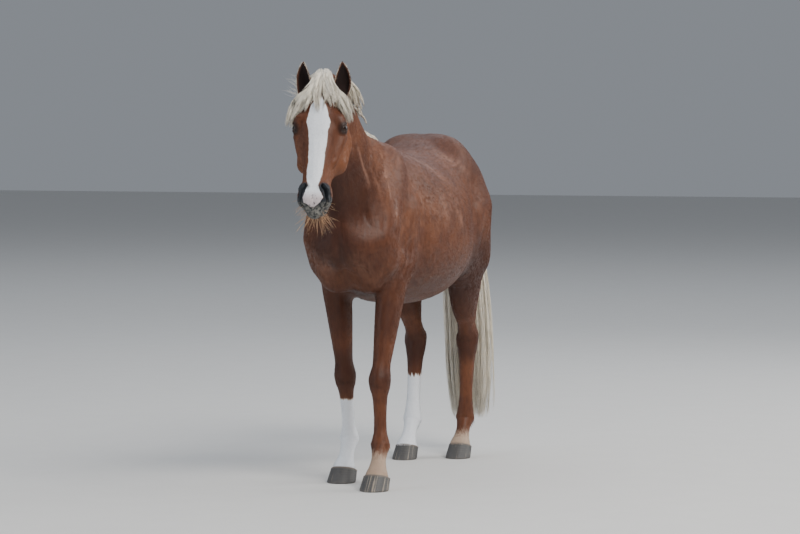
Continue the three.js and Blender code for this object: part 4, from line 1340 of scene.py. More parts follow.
# Painted highlight colours: the sky's sheen along the topline, and the light along the highlight lines.
TOPLINE_HIGHLIGHT, HIGHLIGHT_TINT = (0.22, 0.14, 0.13), (0.50, 0.27, 0.19)
EYE_RING, EAR_CUP_DARK_AND_SHADE, LIP_MOTTLE = (0.016, 0.010, 0.009), (0.010, 0.006, 0.006), (0.26, 0.25, 0.22)
LIT_CHESTNUT = 0.38  # of the light colour in the paler patches of the main one


def hair_colour(shader, c, p, streak, head, on_head):
    """The chestnut, with its darker and paler places, painted shade under the body and on the thighs, and
    painted highlights along the topline, the highlight lines and on the cheeks.
    """
    _, py, pz = shader.parts(p)
    patchy = shader.noise(p, 5.0, 3.0, 0.55)
    lit = tuple((1 - LIT_CHESTNUT) * a + LIT_CHESTNUT * b for a, b in zip(c.chestnut, c.light))
    # Painted shade low on the barrel and under the belly.
    belly = (1 - (pz - 0.86).ramp(-0.04, 0.16)) * (pz - 0.60).ramp(-0.02, 0.05)
    masks = []
    for place, radius in DARK_AND_SHADED_PLACES:
        away = p - place
        masks.append(1 - away.dotted(away).root().ramp(radius * 0.35, radius))
    # Painted highlight of the sky along the topline, strongest over the back and croup.
    croup = (1 - (py - 0.62).ramp(-0.3, 0.2)) * 0.8 + 0.2
    high = croup * (pz - 1.16).ramp(0.0, 0.16) * (py + 0.30).ramp(-0.1, 0.15)
    rump = (pz - 1.12).ramp(0.0, 0.2) * (py - 0.22).ramp(0.0, 0.35)
    # Painted highlight along the highlight lines, broken up by the coat's streaks.
    tone = shader.attribute("tone") * streak.ramp(0.25, 0.62)
    # Painted light on the cheeks and jaw, away from the front of the face.
    cheek = (1 - (head[2] + 70).ramp(-30.0, 60.0)) * on_head
    layers = [
        (patchy.ramp(0.38, 0.68), lit),
        ((1 - streak.ramp(0.3, 0.62)) * 0.34, c.dark),
        (belly * 0.35, c.dark),
        # Darker knees and hocks, and painted shade under the throat and breast, between the forelegs and on the
        # thighs.
        (most_of(masks) * 0.72, c.dark),
        (high * streak.ramp(0.45, 0.75) * 0.22, TOPLINE_HIGHLIGHT),
        (rump * 0.30, c.dark),
        (tone * 0.50, HIGHLIGHT_TINT),
        (cheek * 0.42, c.light),
    ]
    return shader.layered(c.chestnut, layers)


def coat_colour(shader):
    """Base colour and how bare the skin is, over the whole horse."""
    c = colours()
    p = shader.place()
    px, py, pz = shader.parts(p)
    head = x, s, u = head_place(shader)
    on_head = (s + 40).ramp(0.0, 30.0) * (1 - py.ramp(-0.80, -0.76))
    fine = shader.noise(p, 260.0, 2.0)
    streak = shader.noise(shader.joined(px * 90.0, py * 24.0, pz * 26.0), 1.0, 3.0, 0.6)
    base = hair_colour(shader, c, p, streak, head, on_head)
    # Pale markings, with their ragged edges.
    wobble = (shader.noise(p, 38.0, 3.0, 0.7) * 2.0 - 1.0) * 5.0
    combed = shader.noise(shader.joined(px * 110.0, py * 110.0, pz * 10.0), 1.0, 2.0, 0.6)
    face = blaze(shader, head, wobble) * on_head
    snip = face * s.ramp(476.0, 505.0)
    legs = white_legs(shader, p, combed * 3.0 - 1.5)
    white = shader.mix(fine.ramp(0.2, 0.8), c.white, tuple(v * 0.86 for v in c.white))
    white = shader.mix((1 - legs.ramp(0.6, 0.9)) * (1 - face), white, c.cream)
    base = shader.mix(face.most(legs), base, white)
    # Bare skin: about the eyes, nostrils and lips.
    nose = near_places(head, NOSE_PLACES, 34)
    lips = near_places(head, LIP_PLACES, 55)
    eyes = near_places(head, [tuple(EYE + EYE_OUT * 14)], 34)
    base = shader.mix(eyes * on_head * 0.85, base, EYE_RING)
    bare = nose.most(lips).most((s + wobble).ramp(516.0, 530.0)) * on_head * (1 - snip * 0.9)
    blotch = shader.noise(p, 120.0, 3.0, 0.7)
    grey = shader.mix(lips * blotch.ramp(0.38, 0.62) * 0.8, c.skin_grey, LIP_MOTTLE)
    base = shader.mix(bare, base, grey)
    speckled = shader.mix(s.ramp(490.0, 535.0) * 0.55, c.white, c.pink)
    speckled = shader.mix(blotch.ramp(0.58, 0.66) * s.ramp(495.0, 530.0) * 0.7, speckled, c.skin_grey)
    base = shader.mix(snip, base, speckled)
    spots = near_places(head, [SPOT_MIDDLE], 15).most(near_places(head, [SPOT_SIDE], 13) * 0.8)
    base = shader.mix(spots * 0.9, base, c.skin_grey)
    corner = near_places(head, [LIP_CORNER], 13) * x.ramp(0.0, 1.0)
    base = shader.mix(corner * 0.7, base, c.pink)
    return p, base, bare.most(snip * 0.6), fine, streak


COAT_GLOSS = {"IOR": 1.42, "Specular_IOR_Level": 0.36, "Sheen_Weight": 0.03, "Sheen_Roughness": 0.3}
SHEEN_TINT = (0.86, 0.84, 0.95, 1)


def coat_material(name, on_skin):
    shader = Shader(name, **COAT_GLOSS, Sheen_Tint=SHEEN_TINT)
    p, base, bare, fine, streak = coat_colour(shader)
    if on_skin:
        cup = shader.attribute("cup")
        # The ears' cups: their dark skin with painted shade in the hollow.
        base = shader.mix(cup * 0.96, base, EAR_CUP_DARK_AND_SHADE)
        veins = shader.noise(p, 14.0, 2.0, 0.5, 0.8)
        height = fine * 0.25 + streak * 0.9 + veins * 1.4
        rough = 0.36 + streak * 0.22 - bare * 0.04 + cup * 0.45
        return shader.finish(Base_Color=base, Roughness=rough, Normal=shader.bump(height, 0.0026))
    shade = shader.attribute("shade")
    base = shader.mix(shade, base * 0.84, base * 1.16)
    return shader.finish(Base_Color=base, Roughness=0.42 + streak * 0.2)


# ---- Pieces ----
FLESH = ["head", "neck", "trunk", *LEGS, "ear_left", "ear_right"]
shape = {}  # the skin's corners, triangles, normals and form, once made


def skin():
    if not shape:
        verts, tris = skin_shape()
        shape.update(verts=verts, tris=tris, normals=normals_of(verts, tris), form=skin_form(COAT_DEPTH))
        shape["chart"] = chart_of(verts[tris].mean(1))
    return shape


CUP_EDGE = 5  # mm over which an ear's cup turns to its dark skin and painted shade
CUP_START = 0.06  # of the ear's length


def cup_depth(verts):
    """1 inside the cups of the ears."""
    p = mirrored(to_head(verts))
    out = np.zeros(len(p))
    near = np.nonzero((np.linalg.norm(p - EAR_MIDDLE, axis=1) < 110) & by_head(verts))[0]
    s, u, w, over, along = EAR_LOFT.nearest(p[near])
    within = smooth_step((s[:, 5] - 1 - np.abs(w) / (1 + ear_fuller(along))) / CUP_EDGE)
    within *= smooth_step((u + s[:, 4] - 1.5) / 2) * (over < 0.01)
    front = dot(normals_in_head(near), EAR_LOFT.ups[0]) > 0
    out[near] = within * smooth_step((along - CUP_START) * 8) * front
    return out


def normals_in_head(rows):
    """The skin's normals in the head's frame, those of the right side turned over to the left."""
    side = np.where(to_head(shape["verts"][rows])[:, 0] < 0, -1, 1)
    return flipped(shape["normals"][rows] @ HEAD_AXES.T, side)


class MakeSkin(bpy.types.Operator):
    """One skin over the whole horse, without a seam"""

    bl_idname = "horse.skin"
    bl_label = "Skin"

    def execute(self, context):
        s = skin()
        uv = unrolled(s["verts"][s["tris"]], s["chart"])
        values = {"cup": cup_depth(s["verts"]), "tone": painted_highlight_at(s["verts"])}
        finish = coat_material("coat_skin", True)
        make_mesh("skin", s["verts"], s["tris"], uv, finish, FLESH, values=values)
        return {"FINISHED"}


def ball(radius, rings, sides):
    """Corners and triangles of a ball about Z."""
    verts, faces = [(0, 0, radius)], []
    for i in range(1, rings):
        a = math.pi * i / rings
        for j in range(sides):
            b = 2 * math.pi * j / sides
            across = radius * math.sin(a)
            verts.append((across * math.cos(b), across * math.sin(b), radius * math.cos(a)))
    verts.append((0, 0, -radius))
    for j in range(sides):
        k = (j + 1) % sides
        faces.append((0, 1 + j, 1 + k))
        last = 1 + (rings - 2) * sides
        faces.append((len(verts) - 1, last + k, last + j))
        for i in range(rings - 2):
            a, d = 1 + i * sides + j, 1 + i * sides + k
            b, c = a + sides, d + sides
            faces += [(a, b, c), (a, c, d)]
    return np.array(verts, float), np.array(faces)


PUPIL, EYE_RIM = (0.004, 0.005, 0.009), (0.02, 0.014, 0.011)
EYE_RINGS, EYE_SIDES = 28, 40
EYE_SUNK = 0.5  # mm behind its place


def eye_material():
    shader = Shader("eye_gloss", Roughness=0.09, IOR=1.36, Coat_Weight=0.1, Coat_Roughness=0.03)
    a, b = shader.attribute("eye_along"), shader.attribute("eye_up")
    ripples = shader.noise(shader.place(), 420.0, 3.0)
    far = (a * a * 0.42 + b * b * 1.9).root()
    pupil = 1 - far.ramp(4.2, 5.6)
    brown = colours().eye_brown
    iris = shader.mix(ripples.ramp(0.3, 0.7), brown, tuple(v * 2.6 for v in brown))
    rim = (a * a + b * b).root().ramp(13.0, 16.0)
    base = shader.mix(pupil, iris, PUPIL)
    base = shader.mix(rim, base, EYE_RIM)
    return shader.finish(Base_Color=base)


class MakeEyes(bpy.types.Operator):
    """The eyes: dark and wet, with a wide pupil"""

    bl_idname = "horse.eyes"
    bl_label = "Eyes"

    def execute(self, context):
        finish = eye_material()
        for name, side in (("left", 1), ("right", -1)):
            local, faces = ball(EYE_RADIUS, EYE_RINGS, EYE_SIDES)
            bulge = 1 + 0.035 * smooth_step((local[:, 2] / EYE_RADIUS - 0.72) / 0.2)
            local = local * bulge[:, None]
            flip = np.array([side, 1, 1])
            axes = np.array([EYE_ALONG, EYE_UP, EYE_OUT]) * flip
            verts = from_head(local @ axes + EYE * flip - EYE_OUT * flip * EYE_SUNK)
            if np.linalg.det(axes @ HEAD_AXES) < 0:
                faces = faces[:, ::-1]
            u = np.stack([local[:, 0], local[:, 1]], 1) / EYE_RADIUS / 2
            uv = (u * 0.9 + 0.5)[faces] * [0.48, 1] + [0.5 if side > 0 else 0, 0]
            back = (local[faces].mean(1)[:, 2] < 0)[:, None, None]
            uv = np.where(back, uv * [1, 0.02], uv * [1, 0.97] + [0, 0.03])
            values = {"eye_along": local[:, 0], "eye_up": local[:, 1]}
            make_mesh(f"eyeball_{name}", verts, faces, uv, finish, [f"eye_{name}"], values=values)
        return {"FINISHED"}


HOOF_SIDES, HOOF_LEVELS = 72, 22
HOOF_PALE = {"foreleg_left": 0.62, "foreleg_right": 0.1, "hindleg_left": 0.12, "hindleg_right": 0.3}


# (height in mm, mm in from the wall) of the rings of the sole, from its hollow middle out
SOLE_RINGS = [(5.0, 24), (4.0, 13), (0, 10), (0, 1.5)]
# (share of the wall's height, mm above that, mm in from the wall, height in the material)
TOP_RINGS = [(0.965, 0, -0.2, 0.965), (1, 0, 1.5, 1.0), (1, 2.0, 6, 1.03), (1, 2.5, 16, 1.05)]
HEEL_CLEFT, CLEFT_WIDE = 9, 0.16


def hoof_ring(name, angle, z, inset=0.0):
    """Where the wall is at angles from the toe and heights above the ground."""
    size = HOOF[leg_kind(name)]
    x, y, _ = LEGS[name][-1]
    scale = np.interp(z, [0, 5, HOOF_DEPTH], [0.97, 1, 0.86])
    forward = np.cos(angle)
    across = np.sin(angle) * (size["width"] * scale - inset) * (1 - 0.12 * np.maximum(-forward, 0))
    deep = np.where(forward > 0, size["toe"], size["heel"]) * scale - inset
    cleft = HEEL_CLEFT * np.exp(-(((angle - np.pi) / CLEFT_WIDE) ** 2)) * smooth_step(z / 18)
    return x + across, y - SOLE_BACK - forward * (deep - cleft) + HOOF_LEAN * z


def hoof_shape(name):
    """A hoof's corners and triangles, with each corner's angle and height."""
    point, normal = coronet(name)
    angle = np.arange(HOOF_SIDES) / HOOF_SIDES * 2 * np.pi
    top = np.full(HOOF_SIDES, point[2])
    for _ in range(8):
        _, y = hoof_ring(name, angle, top)
        top = point[2] - (y - point[1]) * normal[1] / normal[2]
    rings, heights = [], []

    def ring(z, inset, share):
        x, y = hoof_ring(name, angle, z, inset)
        rings.append(np.stack([x, y, z], 1))
        heights.append(np.full(HOOF_SIDES, share))

    for z, inset in SOLE_RINGS:
        ring(top * 0 + z, inset, 0)
    for share in np.linspace(0.02, 0.93, HOOF_LEVELS):
        growth = 0.45 * math.sin(share * 46) * (0.4 + 0.6 * share)
        flare = 0.6 if share > 0.05 else 1.6
        ring(top * share, flare - growth, share)
    for share, rise, inset, height in TOP_RINGS:
        ring(top * share + rise, inset, height)
    verts = np.concatenate([*rings, rings[0].mean(0)[None], rings[-1].mean(0)[None]])
    heights = np.concatenate([*heights, [0], [1.05]])
    faces = []
    last = len(verts) - 1
    body = (len(rings) - 1) * HOOF_SIDES
    j = np.arange(HOOF_SIDES)
    k = (j + 1) % HOOF_SIDES
    for start in range(0, body, HOOF_SIDES):
        a, b, c, d = start + j, start + k, start + HOOF_SIDES + k, start + HOOF_SIDES + j
        faces += [np.stack([a, b, c], 1), np.stack([a, c, d], 1)]
    faces.append(np.stack([k, j, j * 0 + last - 1], 1))
    faces.append(np.stack([body + j, body + k, j * 0 + last], 1))
    angles = np.concatenate([np.tile(angle, len(rings)), [0, 0]])
    return verts, np.concatenate(faces), angles, heights


HORN_TOP, HORN_WORN = (0.16, 0.13, 0.105), (0.25, 0.22, 0.19)


def horn_material(name, pale):
    shader = Shader(f"horn_{name}", IOR=1.5)
    c = colours()
    around, height = shader.attribute("around"), shader.attribute("height")
    px, py, pz = shader.parts(shader.place())
    stripe = shader.noise(shader.joined(around * 9.0, height * 0.5, px * 3.0), 1.0, 3.0, 0.6)
    grain = shader.noise(shader.joined(px * 700.0, py * 700.0, pz * 40.0), 1.0, 2.0, 0.6)
    layers = [
        (stripe.ramp(0.66 - 0.24 * pale, 0.80 - 0.16 * pale) * 0.8, c.horn_pale),
        (height.ramp(0.88, 0.98), HORN_TOP),
        ((1 - height.ramp(0.0, 0.16)) * grain.ramp(0.4, 0.7) * 0.4, HORN_WORN),
        (grain.ramp(0.45, 0.8) * 0.25, c.horn_pale),
    ]
    base = shader.layered(c.horn_dark, layers)
    rings = (height * 92.0).sine() * 0.5 + 0.5
    normal = shader.bump(rings * 0.5 + grain * 0.5, 0.0006)
    return shader.finish(Base_Color=base, Roughness=0.38 + grain * 0.25, Normal=normal)


class MakeHooves(bpy.types.Operator):
    """Four hooves with growth rings, a clean ground edge and a hollow sole"""

    bl_idname = "horse.hooves"
    bl_label = "Hooves"

    def execute(self, context):
        for name, pale in HOOF_PALE.items():
            verts, faces, angles, heights = hoof_shape(name)
            node = "hoof_" + name.replace("leg", "")
            turned = angles[faces]
            over = (turned.max(1) - turned.min(1) > 3)[:, None] & (turned < 3)
            turned = np.where(over, turned + 2 * np.pi, turned)
            uv = np.stack([turned / 6.6, heights[faces] / 1.1], -1)
            values = {"around": angles, "height": heights}
            finish = horn_material(node, pale)
            make_mesh(f"horn_{node}", verts, faces, uv, finish, [node], values=values)
        return {"FINISHED"}


# ---- Hair: thin tapered strands, gathered in locks ----
STRAND_RINGS = 7
STRAND_SIDES = 3
PATCH = 0.003  # of the unit square, for the strand or tuft at each root
HAIR_SLOPE_STEP = 2.0  # mm


def strands_mesh(paths, width, flat=0.75):
    """Corners and triangles of one tapered strand along each path (n, k, 3) in mm."""
    n, k, _ = paths.shape
    ahead = unit(np.diff(paths, axis=1, append=2 * paths[:, -1:] - paths[:, -2:-1]))
    side = unit(np.cross(ahead, np.array([0.31, 0.17, 0.93])) + 1e-6)
    up = np.cross(side, ahead)
    taper = np.interp(np.arange(k) / (k - 1), [0, 0.12, 0.6, 1], [0.75, 1, 0.8, 0.0])
    angle = np.arange(STRAND_SIDES) / STRAND_SIDES * 2 * np.pi
    radius = (np.broadcast_to(width, n)[:, None] / 2 * taper[None, :-1])[..., None, None]
    around = np.cos(angle)[:, None] * side[:, :-1, None] + flat * np.sin(angle)[:, None] * up[:, :-1, None]
    rings = paths[:, :-1, None] + radius * around
    size = (k - 1) * STRAND_SIDES + 1
    verts = np.concatenate([rings.reshape(n, -1, 3), paths[:, -1:]], 1)
    faces = [(0, 1, 2)]
    for ring in range(k - 2):
        for j in range(STRAND_SIDES):
            a, b = ring * STRAND_SIDES + j, ring * STRAND_SIDES + (j + 1) % STRAND_SIDES
            faces += [(b, a, b + STRAND_SIDES), (b + STRAND_SIDES, a, a + STRAND_SIDES)]
    last = (k - 2) * STRAND_SIDES
    faces += [(last + (j + 1) % STRAND_SIDES, last + j, size - 1) for j in range(STRAND_SIDES)]
    faces = np.array(faces)
    tris = (faces[None] + (np.arange(n) * size)[:, None, None]).reshape(-1, 3)
    along = np.append(np.repeat(np.arange(k - 1) / (k - 1), STRAND_SIDES), 1.0)
    across = np.append(np.tile(np.arange(STRAND_SIDES) / STRAND_SIDES, k - 1), 0.5)
    return verts.reshape(-1, 3), tris, faces, along, across


def make_strands(name, paths, width, shade, finish, replaced=()):
    """An object of strands, each unrolled as a small patch at its root's place on the skin."""
    n = len(paths)
    verts, tris, faces, along, across = strands_mesh(paths, width)
    root = unrolled(paths[:, :1])
    local = np.stack([across - 0.5, along - 0.5], 1)[faces] * PATCH
    uv = np.clip(root[:, None] + local[None], 0, 1)
    values = {"shade": np.repeat(np.broadcast_to(shade, n), len(along)), "along": np.tile(along, n)}
    return make_mesh(name, verts, tris, uv, finish, replaced, values=values)


def drape(form, roots, ways, lengths, lift, weight):
    """Paths of strands that start out along `ways`, are drawn down and lie on the body."""
    way, path = unit(ways), [roots]
    step = (lengths / STRAND_RINGS)[:, None]
    for _ in range(STRAND_RINGS):
        way = unit(way - np.array([0, 0, 1]) * weight)
        p = path[-1] + way * step
        value, slope = slope_of(form, p, HAIR_SLOPE_STEP)
        p = p + unit(slope) * np.clip(lift - value, 0, 60)[:, None]
        way = unit(p - path[-1])
        path.append(p)
    return np.stack(path, 1)


def bent(paths, random, size, waves=1.3):
    """Gives each path a slow wave of its own."""
    n, k, _ = paths.shape
    t = np.arange(k) / (k - 1)
    way = random.normal(size=(n, 3)) * np.reshape(size, (-1, 1))
    turn = random.uniform(0, 2 * np.pi, (n, 1))
    wave = np.sin(t[None] * 2 * np.pi * waves + turn) - np.sin(turn)
    return paths + way[:, None] * (wave * t[None])[..., None]


def in_locks(random, locks, each, spread):
    """Places in the unit circle for strands in locks, and each strand's lock."""
    angle, far = random.uniform(0, 2 * np.pi, locks), np.sqrt(random.uniform(0, 1, locks))
    middle = np.stack([np.cos(angle), np.sin(angle)], 1) * far[:, None]
    lock = np.repeat(np.arange(locks), each)
    place = middle[lock] + random.normal(size=(len(lock), 2)) * spread
    return place / np.maximum(np.linalg.norm(place, axis=1), 1)[:, None], middle[lock], lock


def loft_paths(loft, place, tip_place, ends, starts=0.0, steps=STRAND_RINGS):
    """Paths down a loft, from one place in its section to another, as far as a share of its length."""
    n = len(place)
    t = np.arange(steps + 1) / steps
    starts, ends = np.reshape(starts, (-1, 1)), np.reshape(ends, (-1, 1))
    share = np.broadcast_to(starts + t[None] * (ends - starts), (n, steps + 1)).ravel()
    s, up, tangent = loft.section(share)
    gather = np.tile(t**1.2, n)[:, None]
    local = np.repeat(place, steps + 1, 0) * (1 - gather) + np.repeat(tip_place, steps + 1, 0) * gather
    deep = np.where(local[:, 1] > 0, s[:, 3], s[:, 4]) * local[:, 1]
    out = s[:, :3] + up * deep[:, None] + np.cross(tangent, up) * (s[:, 5] * local[:, 0])[:, None]
    return out.reshape(n, steps + 1, 3)


def pressed_out(form, paths, lift):
    """Moves what lies under the skin out to just above it."""
    n, k, _ = paths.shape
    p = paths.reshape(-1, 3)
    value, slope = slope_of(form, p, HAIR_SLOPE_STEP)
    p = p + unit(slope) * np.clip(np.repeat(lift, k) - value, 0, 80)[:, None]
    return p.reshape(n, k, 3)


def lock_shades(random, lock, depth, spread):
    """How deep each strand's colour is: by its depth, its lock's own shade and a little of its own."""
    own = random.uniform(0, spread, lock[-1] + 1)[lock]
    return np.clip(depth + own + random.normal(size=len(lock)) * 0.08, 0, 1)


def strand_widths(random, count, thick=1.0, widest=1.25):
    """A width in mm for each strand."""
    return sizes().hair_width * 1000 * thick * random.uniform(0.8, widest, count)


BLEACHED, STRAW = (0.98, 0.95, 0.90), (0.95, 0.88, 0.74)  # of the outer hair


def hair_material(name, darker=0.0):
    shader = Shader(name, IOR=1.5, Specular_IOR_Level=0.4, Sheen_Weight=0.12, Sheen_Roughness=0.35)
    c = colours()
    shade, along = shader.attribute("shade"), shader.attribute("along")
    fine = shader.noise(shader.place(), 60.0, 2.0)
    deep = (shade * 1.0 + fine * 0.3 - 0.15 + darker).ramp(0.62, 1.05)
    base = shader.mix(deep, c.hair_pale, c.hair_deep)
    base = shader.mix((1 - along.ramp(0.0, 0.14)) * 0.28, base, c.hair_deep)
    pale = shader.mix(fine.ramp(0.3, 0.7), BLEACHED, STRAW)
    base = shader.mix((1 - shade.ramp(0.05, 0.4)) * 0.6, base, pale)
    return shader.finish(Base_Color=base, Roughness=0.34 + fine * 0.25)


# Locks of the forelock, in the head's frame: rows of [point, out, in, half-width].
FORELOCK = [
    [(0, -34, -8, 18, 30, 32), (0, 24, 14, 18, 24, 34), (2, 90, 24, 12, 14, 34), (6, 172, 20, 6, 6, 14)],
    [(-6, -26, -4, 18, 26, 26), (-25, 42, 11, 18, 24, 29), (-56, 104, 12, 13, 18, 34),
     (-66, 160, 8, 6, 6, 16)],
    [(-8, -18, 0, 18, 24, 22), (-36, 62, 5, 20, 26, 22), (-92, 114, -18, 18, 24, 32),
     (-124, 200, -44, 7, 7, 18)],
    [(6, -26, -4, 18, 26, 26), (24, 42, 11, 18, 24, 29), (50, 96, 12, 13, 18, 32), (58, 146, 10, 6, 6, 14)],
    [(8, -18, 0, 18, 24, 22), (34, 60, 6, 18, 24, 22), (84, 104, -14, 16, 22, 28), (120, 184, -38, 7, 7, 17)],
]
# For each: how many locks of hair, and how far down it the longest and the shortest strands end.
FORELOCK_FILL = [(34, 0.98, 0.3), (34, 1.0, 0.3), (46, 1.05, 0.5), (34, 1.0, 0.3), (46, 1.05, 0.5)]


FORELOCK_EACH = 22  # strands in a lock


class MakeForelock(bpy.types.Operator):
    """The forelock: a ragged middle and a sheaf over each brow"""

    bl_idname = "horse.forelock"
    bl_label = "Forelock"

    def execute(self, context):
        random = np.random.default_rng(11)
        paths, shades = [], []
        for rows, (locks, longest, shortest) in zip(FORELOCK, FORELOCK_FILL):
            loft = Loft((0, 0, 1), rows)
            place, middle, lock = in_locks(random, locks, FORELOCK_EACH, 0.17)
            tip = middle * 1.15 + (place - middle) * 0.2
            end = random.uniform(shortest, longest, locks)[lock] + random.normal(size=len(lock)) * 0.05
            made = loft_paths(loft, place * 0.92, tip * 0.95, np.clip(end, 0.3, 1.06))
            made = bent(made, random, 3.0)
            paths.append(from_head(made.reshape(-1, 3)).reshape(made.shape))
            under = np.clip(0.5 - place[:, 1] * 0.45, 0, 1)
            shades.append(lock_shades(random, lock, under * 0.7, 0.5))
        paths, shades = np.concatenate(paths), np.concatenate(shades)
        lift = random.uniform(2, 9, len(paths))
        paths = pressed_out(skin()["form"], paths, lift)
        width = strand_widths(random, len(paths))
        finish = hair_material("pale_hair_forelock")
        make_strands("forelock_hair", paths, width, shades, finish, ["forelock"])
        return {"FINISHED"}


MANE_ROOTS = (0.03, 1.06)  # where its locks start, as shares of the way from the withers to the poll
MANE_LOCKS, MANE_EACH = 150, 24  # locks in each of its two pieces, and strands in each lock
CREST_LENGTH = 640


def crest_points(share, angle):
    """Points of the skin at an angle from the top of the neck, at shares of its length, and their axes."""
    s, up, tangent = NECK_LOFT.section(share)
    beyond = np.maximum(share - 1, 0)[:, None] * CREST_LENGTH
    way = up * np.cos(angle)[:, None] + np.cross(tangent, up) * np.sin(angle)[:, None]
    p = s[:, :3] + tangent * beyond + way * s[:, 3:4]
    return settle(skin()["form"], p, 40, 4), way, tangent


class MakeMane(bpy.types.Operator):
    """The mane: it lies over the crest and falls to the right, with some hair on the left by the ears"""

    bl_idname = "horse.mane"
    bl_label = "Mane"

    def execute(self, context):
        random = np.random.default_rng(12)
        form = skin()["form"]
        right = cross_sign()
        locks = MANE_LOCKS
        for part in range(2):
            share = random.uniform(*MANE_ROOTS, locks)
            near_ears = smooth_step((share - 0.66) / 0.2)
            to_left = random.uniform(0, 1, locks) < 0.30 * smooth_step((share - 0.38) / 0.34)
            lock = np.repeat(np.arange(locks), MANE_EACH)
            turn = np.where(to_left, -1, 1)[lock]
            root_share = share[lock] + random.normal(size=len(lock)) * 0.010
            angle = np.radians(turn * 3 + random.normal(size=len(lock)) * 3.0) * right
            roots, way, tangent = crest_points(np.clip(root_share, 0.02, 1.08), angle)
            across = np.array([-1.0, 0, 0]) * turn[:, None]
            fan = random.normal(size=locks)[lock][:, None] * 0.14 + 0.10
            back = np.where(to_left, 0.95 * near_ears, 0)[lock][:, None]
            ways = way * 0.55 + across * (1 - back * 0.45) + tangent * (fan - back)
            ways = ways + random.normal(size=way.shape) * 0.05
            full = np.interp(share, [0.03, 0.14, 0.5, 1.06], [0.30, 0.72, 1.0, 0.82])
            long = sizes().mane_length * 1000 * full * random.uniform(0.62, 1.0, locks)
            long = np.where(to_left, long * (0.26 + 0.34 * near_ears), long)
            length = long[lock] * random.uniform(0.86, 1.04, len(lock))
            depth = np.interp(share, [0.0, 0.12, 0.5, 0.9, 1.06], [3, 15, 25, 25, 10])
            layer = random.uniform(0.0, 1.0, locks)
            lift = 1.5 + (layer * depth)[lock] + random.uniform(0, 3, len(lock))
            paths = bent(drape(form, roots, ways, length, lift, 0.42), random, 3.0)
            paths = self.gathered(paths)
            shade = lock_shades(random, lock, (1 - layer[lock]) * 0.6, 0.5)
            width = strand_widths(random, len(paths), 1.1)
            finish = hair_material(f"pale_hair_mane_{part}")
            make_strands(f"mane_hair_{part}", paths, width, shade, finish, () if part else ["mane"])
        return {"FINISHED"}

    def gathered(self, paths):
        """Draws the strands of each lock together toward their tips."""
        count = paths.shape[1]
        share = (np.arange(count) / (count - 1))[:, None] ** 1.5 * 0.6
        mean = paths.reshape(-1, MANE_EACH, count, 3).mean(1)
        return paths + (np.repeat(mean, MANE_EACH, 0) - paths) * share


def cross_sign():
    """Which way an angle about the neck turns to the horse's right."""
    side = np.cross(NECK_LOFT.tangents[0], NECK_LOFT.ups[0])
    return -np.sign(side[0])


# [point, radius behind, radius in front, half-width]
TAIL = [
    (0, 1090, 1272, 34, 36, 34), (0, 1150, 1266, 36, 38, 36), (2, 1200, 1236, 42, 42, 44),
    (10, 1238, 1170, 50, 46, 60), (22, 1262, 1070, 56, 50, 82), (38, 1282, 900, 60, 52, 101),
    (52, 1293, 700, 62, 54, 112), (58, 1302, 480, 60, 52, 116), (64, 1308, 300, 54, 50, 112),
    (68, 1312, 190, 44, 42, 100), (70, 1314, 150, 30, 30, 84),
]
TAIL_STEPS = 12
TAIL_LOCKS, TAIL_EACH = 100, 20


class MakeTail(bpy.types.Operator):
    """The tail: long hair from the dock nearly to the fetlocks"""

    bl_idname = "horse.tail"
    bl_label = "Tail"

    def execute(self, context):
        loft = Loft((0, 1, 0.2), TAIL)
        locks = TAIL_LOCKS
        for part in range(2):
            random = np.random.default_rng(13 + part)
            place, middle, lock = in_locks(random, locks, TAIL_EACH, 0.10)
            push = random.uniform(0.55, 1.0, locks)[lock][:, None]
            rim = middle / np.maximum(np.linalg.norm(middle, axis=1), 0.2)[:, None]
            outer = random.uniform(0, 1, locks)[lock][:, None] < 0.6
            place = np.where(outer, place * 0.25 + rim * 0.72, place)
            start = random.uniform(0.02, 0.34, locks)[lock] + random.normal(size=len(lock)) * 0.01
            is_long = random.uniform(0, 1, locks) < 0.55
            end = np.where(is_long, random.uniform(0.86, 1.0, locks), random.uniform(0.6, 0.93, locks))
            end = end[lock] + random.normal(size=len(lock)) * 0.02
            is_stray = random.uniform(0, 1, locks) < 0.1
            stray = np.where(is_stray, random.uniform(1.12, 1.5, locks), 1)[lock][:, None]
            tip = place * push * 0.96 * stray + (middle - place) * 0.35
            start, end = np.clip(start, 0.01, 1), np.clip(end, 0.4, 1.0)
            paths = loft_paths(loft, place * 0.93, tip, end, start, TAIL_STEPS)
            paths = bent(paths, random, 5.0, 2.4)
            paths = pressed_out(skin()["form"], paths, np.full(len(paths), 1.5))
            inner = 1 - np.linalg.norm(place, axis=1)
            shade = lock_shades(random, lock, inner * 0.7, 0.75)
            width = strand_widths(random, len(paths), 1.5, 1.3)
            finish = hair_material(f"pale_hair_tail_{part}", 0.02)
            make_strands(f"tail_hair_{part}", paths, width, shade, finish, () if part else ["tail"])
        return {"FINISHED"}


